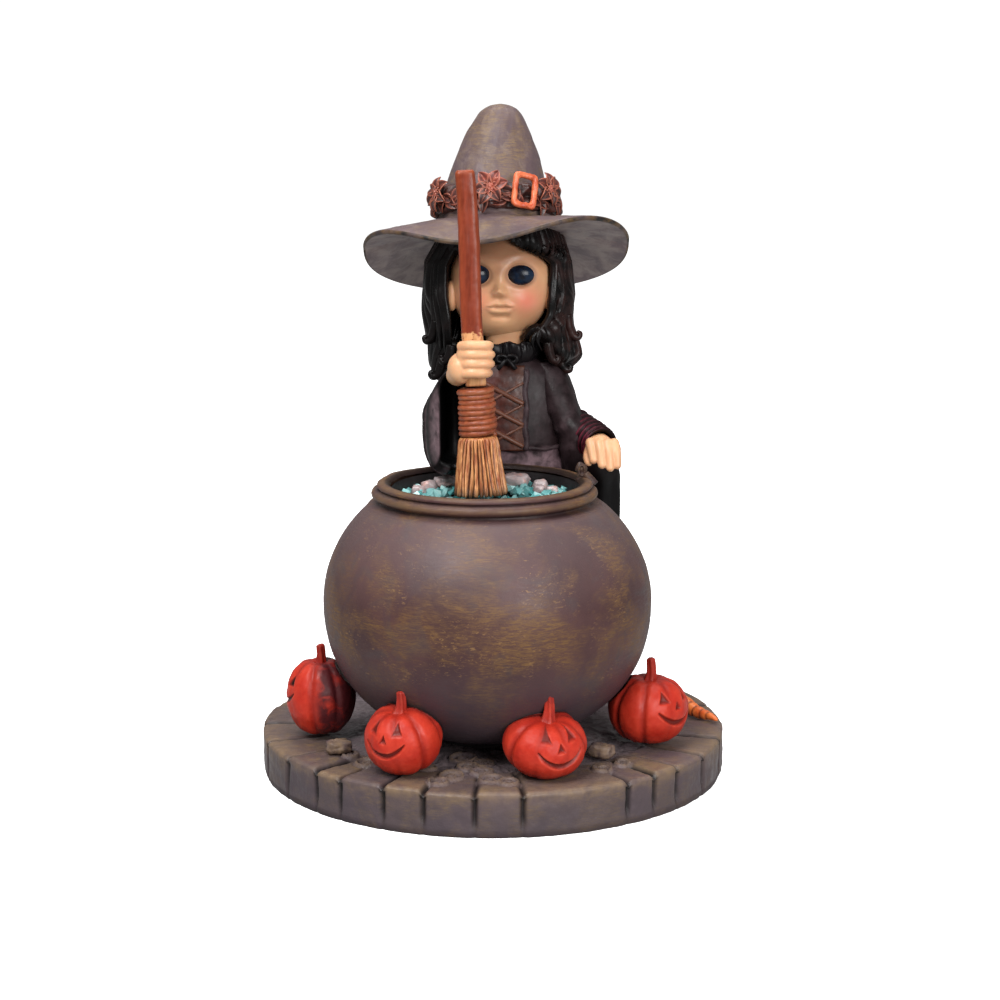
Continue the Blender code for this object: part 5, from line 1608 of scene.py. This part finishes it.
# ---------------------------------------------------------------- surroundings


def sweep():
    """A wide pale floor, seen the same from every side."""
    glow = {"Emission_Color": (1.0, 1.0, 1.0, 1.0), "Emission_Strength": 1.0}
    look = Look("studio_paper", 0.9, Specular_IOR_Level=0.1, **glow)
    look.start(look.noise(30.0, 2.0), (0.90, 0.90, 0.90), (0.92, 0.92, 0.92))
    shape = Shape()
    shape.add(lathe((0, 0), [(r, -0.05) for r in (1.0, 900.0, 1500.0, 2600.0)], 64))
    mesh = mesh_of("floor", shape.points, shape.faces[:-1])
    mesh.materials.append(look.done())
    floor = linked("floor", mesh)
    floor.visible_diffuse = floor.visible_glossy = floor.visible_transmission = False


def lamp(name, place, aim, size, power):
    light = bpy.data.lights.new(name, "AREA")
    light.shape = "RECTANGLE"
    light.size, light.size_y = size
    light.energy = power
    obj = linked(name, light)
    obj.location = place
    obj.rotation_euler = (Vector(aim) - Vector(place)).to_track_quat("-Z", "Y").to_euler()
    obj.visible_camera = False


def surroundings():
    scene = bpy.context.scene
    scene.view_settings.view_transform = "Standard"
    scene.view_settings.look = "None"
    world = bpy.data.worlds.new("studio")
    scene.world = world
    world.use_nodes = True
    nodes, links = world.node_tree.nodes, world.node_tree.links
    shade = nodes["Background"]
    ray = nodes.new("ShaderNodeLightPath")
    span = nodes.new("ShaderNodeMapRange")
    span.inputs["To Min"].default_value = WORLD_LIGHT
    span.inputs["To Max"].default_value = WORLD_SEEN
    links.new(ray.outputs["Is Camera Ray"], span.inputs["Value"])
    links.new(span.outputs[0], shade.inputs["Strength"])
    shade.inputs["Color"].default_value = (1.0, 1.0, 1.0, 1.0)
    lamp("key", (-0.34, -0.48, 0.76), (0.0, 0.0, 0.09), (0.42, 0.42), 7.4)
    lamp("fill", (0.34, -0.66, 0.36), (0.0, 0.0, 0.11), (0.36, 0.40), 4.8)
    lamp("top", (0.0, 0.10, 0.75), (0.0, 0.0, 0.05), (0.5, 0.5), 3.0)
    lamp("floor_bounce", (0.0, 0.0, 0.002), (0.0, 0.0, 1.0), (1.2, 1.2), 1.4)
    sweep()
    camera = bpy.data.cameras.new("camera")
    camera.sensor_width = SENSOR
    camera.lens = LENS
    camera.clip_start = 0.01
    view = linked("camera", camera)
    view.location = CAMERA_AT
    view.rotation_euler = (radians(90 - CAMERA_DOWN), 0.0, 0.0)
    scene.camera = view


def build():
    stone, pot, pumpkin, skin, trim = stone_look(), pot_look(), pumpkin_look(), skin_look(), trim_look()
    robe = cloth_look("robe_look", (0.0042, 0.0024, 0.0026), (0.0105, 0.0056, 0.0062), (0.205, 0.132, 0.148))
    red = cloth_look("cuff_look", (0.010, 0.004, 0.005), (0.022, 0.006, 0.008), (0.16, 0.018, 0.036))
    black = cloth_look("collar_look", (0.004, 0.0035, 0.004), (0.009, 0.007, 0.008), (0.03, 0.02, 0.025), 0.3)
    build_base(stone)
    build_ground_pieces(stone)
    build_pot(pot, inner_look())
    build_lug(pot)
    build_potion(chip_look(), pebble_look())
    for settings in PUMPKINS:
        build_pumpkin(settings, pumpkin)
    build_carrot(carrot_look())
    build_robe(robe)
    build_bodice(bodice_look(), robe)
    build_collar(black)
    build_right_sleeve(robe)
    build_left_sleeve(robe, red)
    build_hands(skin)
    build_broom(handle_look(), binding_look(), bristle_look())
    build_head(skin, eye_look())
    build_hair(hair_look())
    build_hat(hat_look())
    build_ribbon(trim)
    build_band(trim)
    build_buckle(buckle_look())
    finish_cad_nodes()
    surroundings()


build()
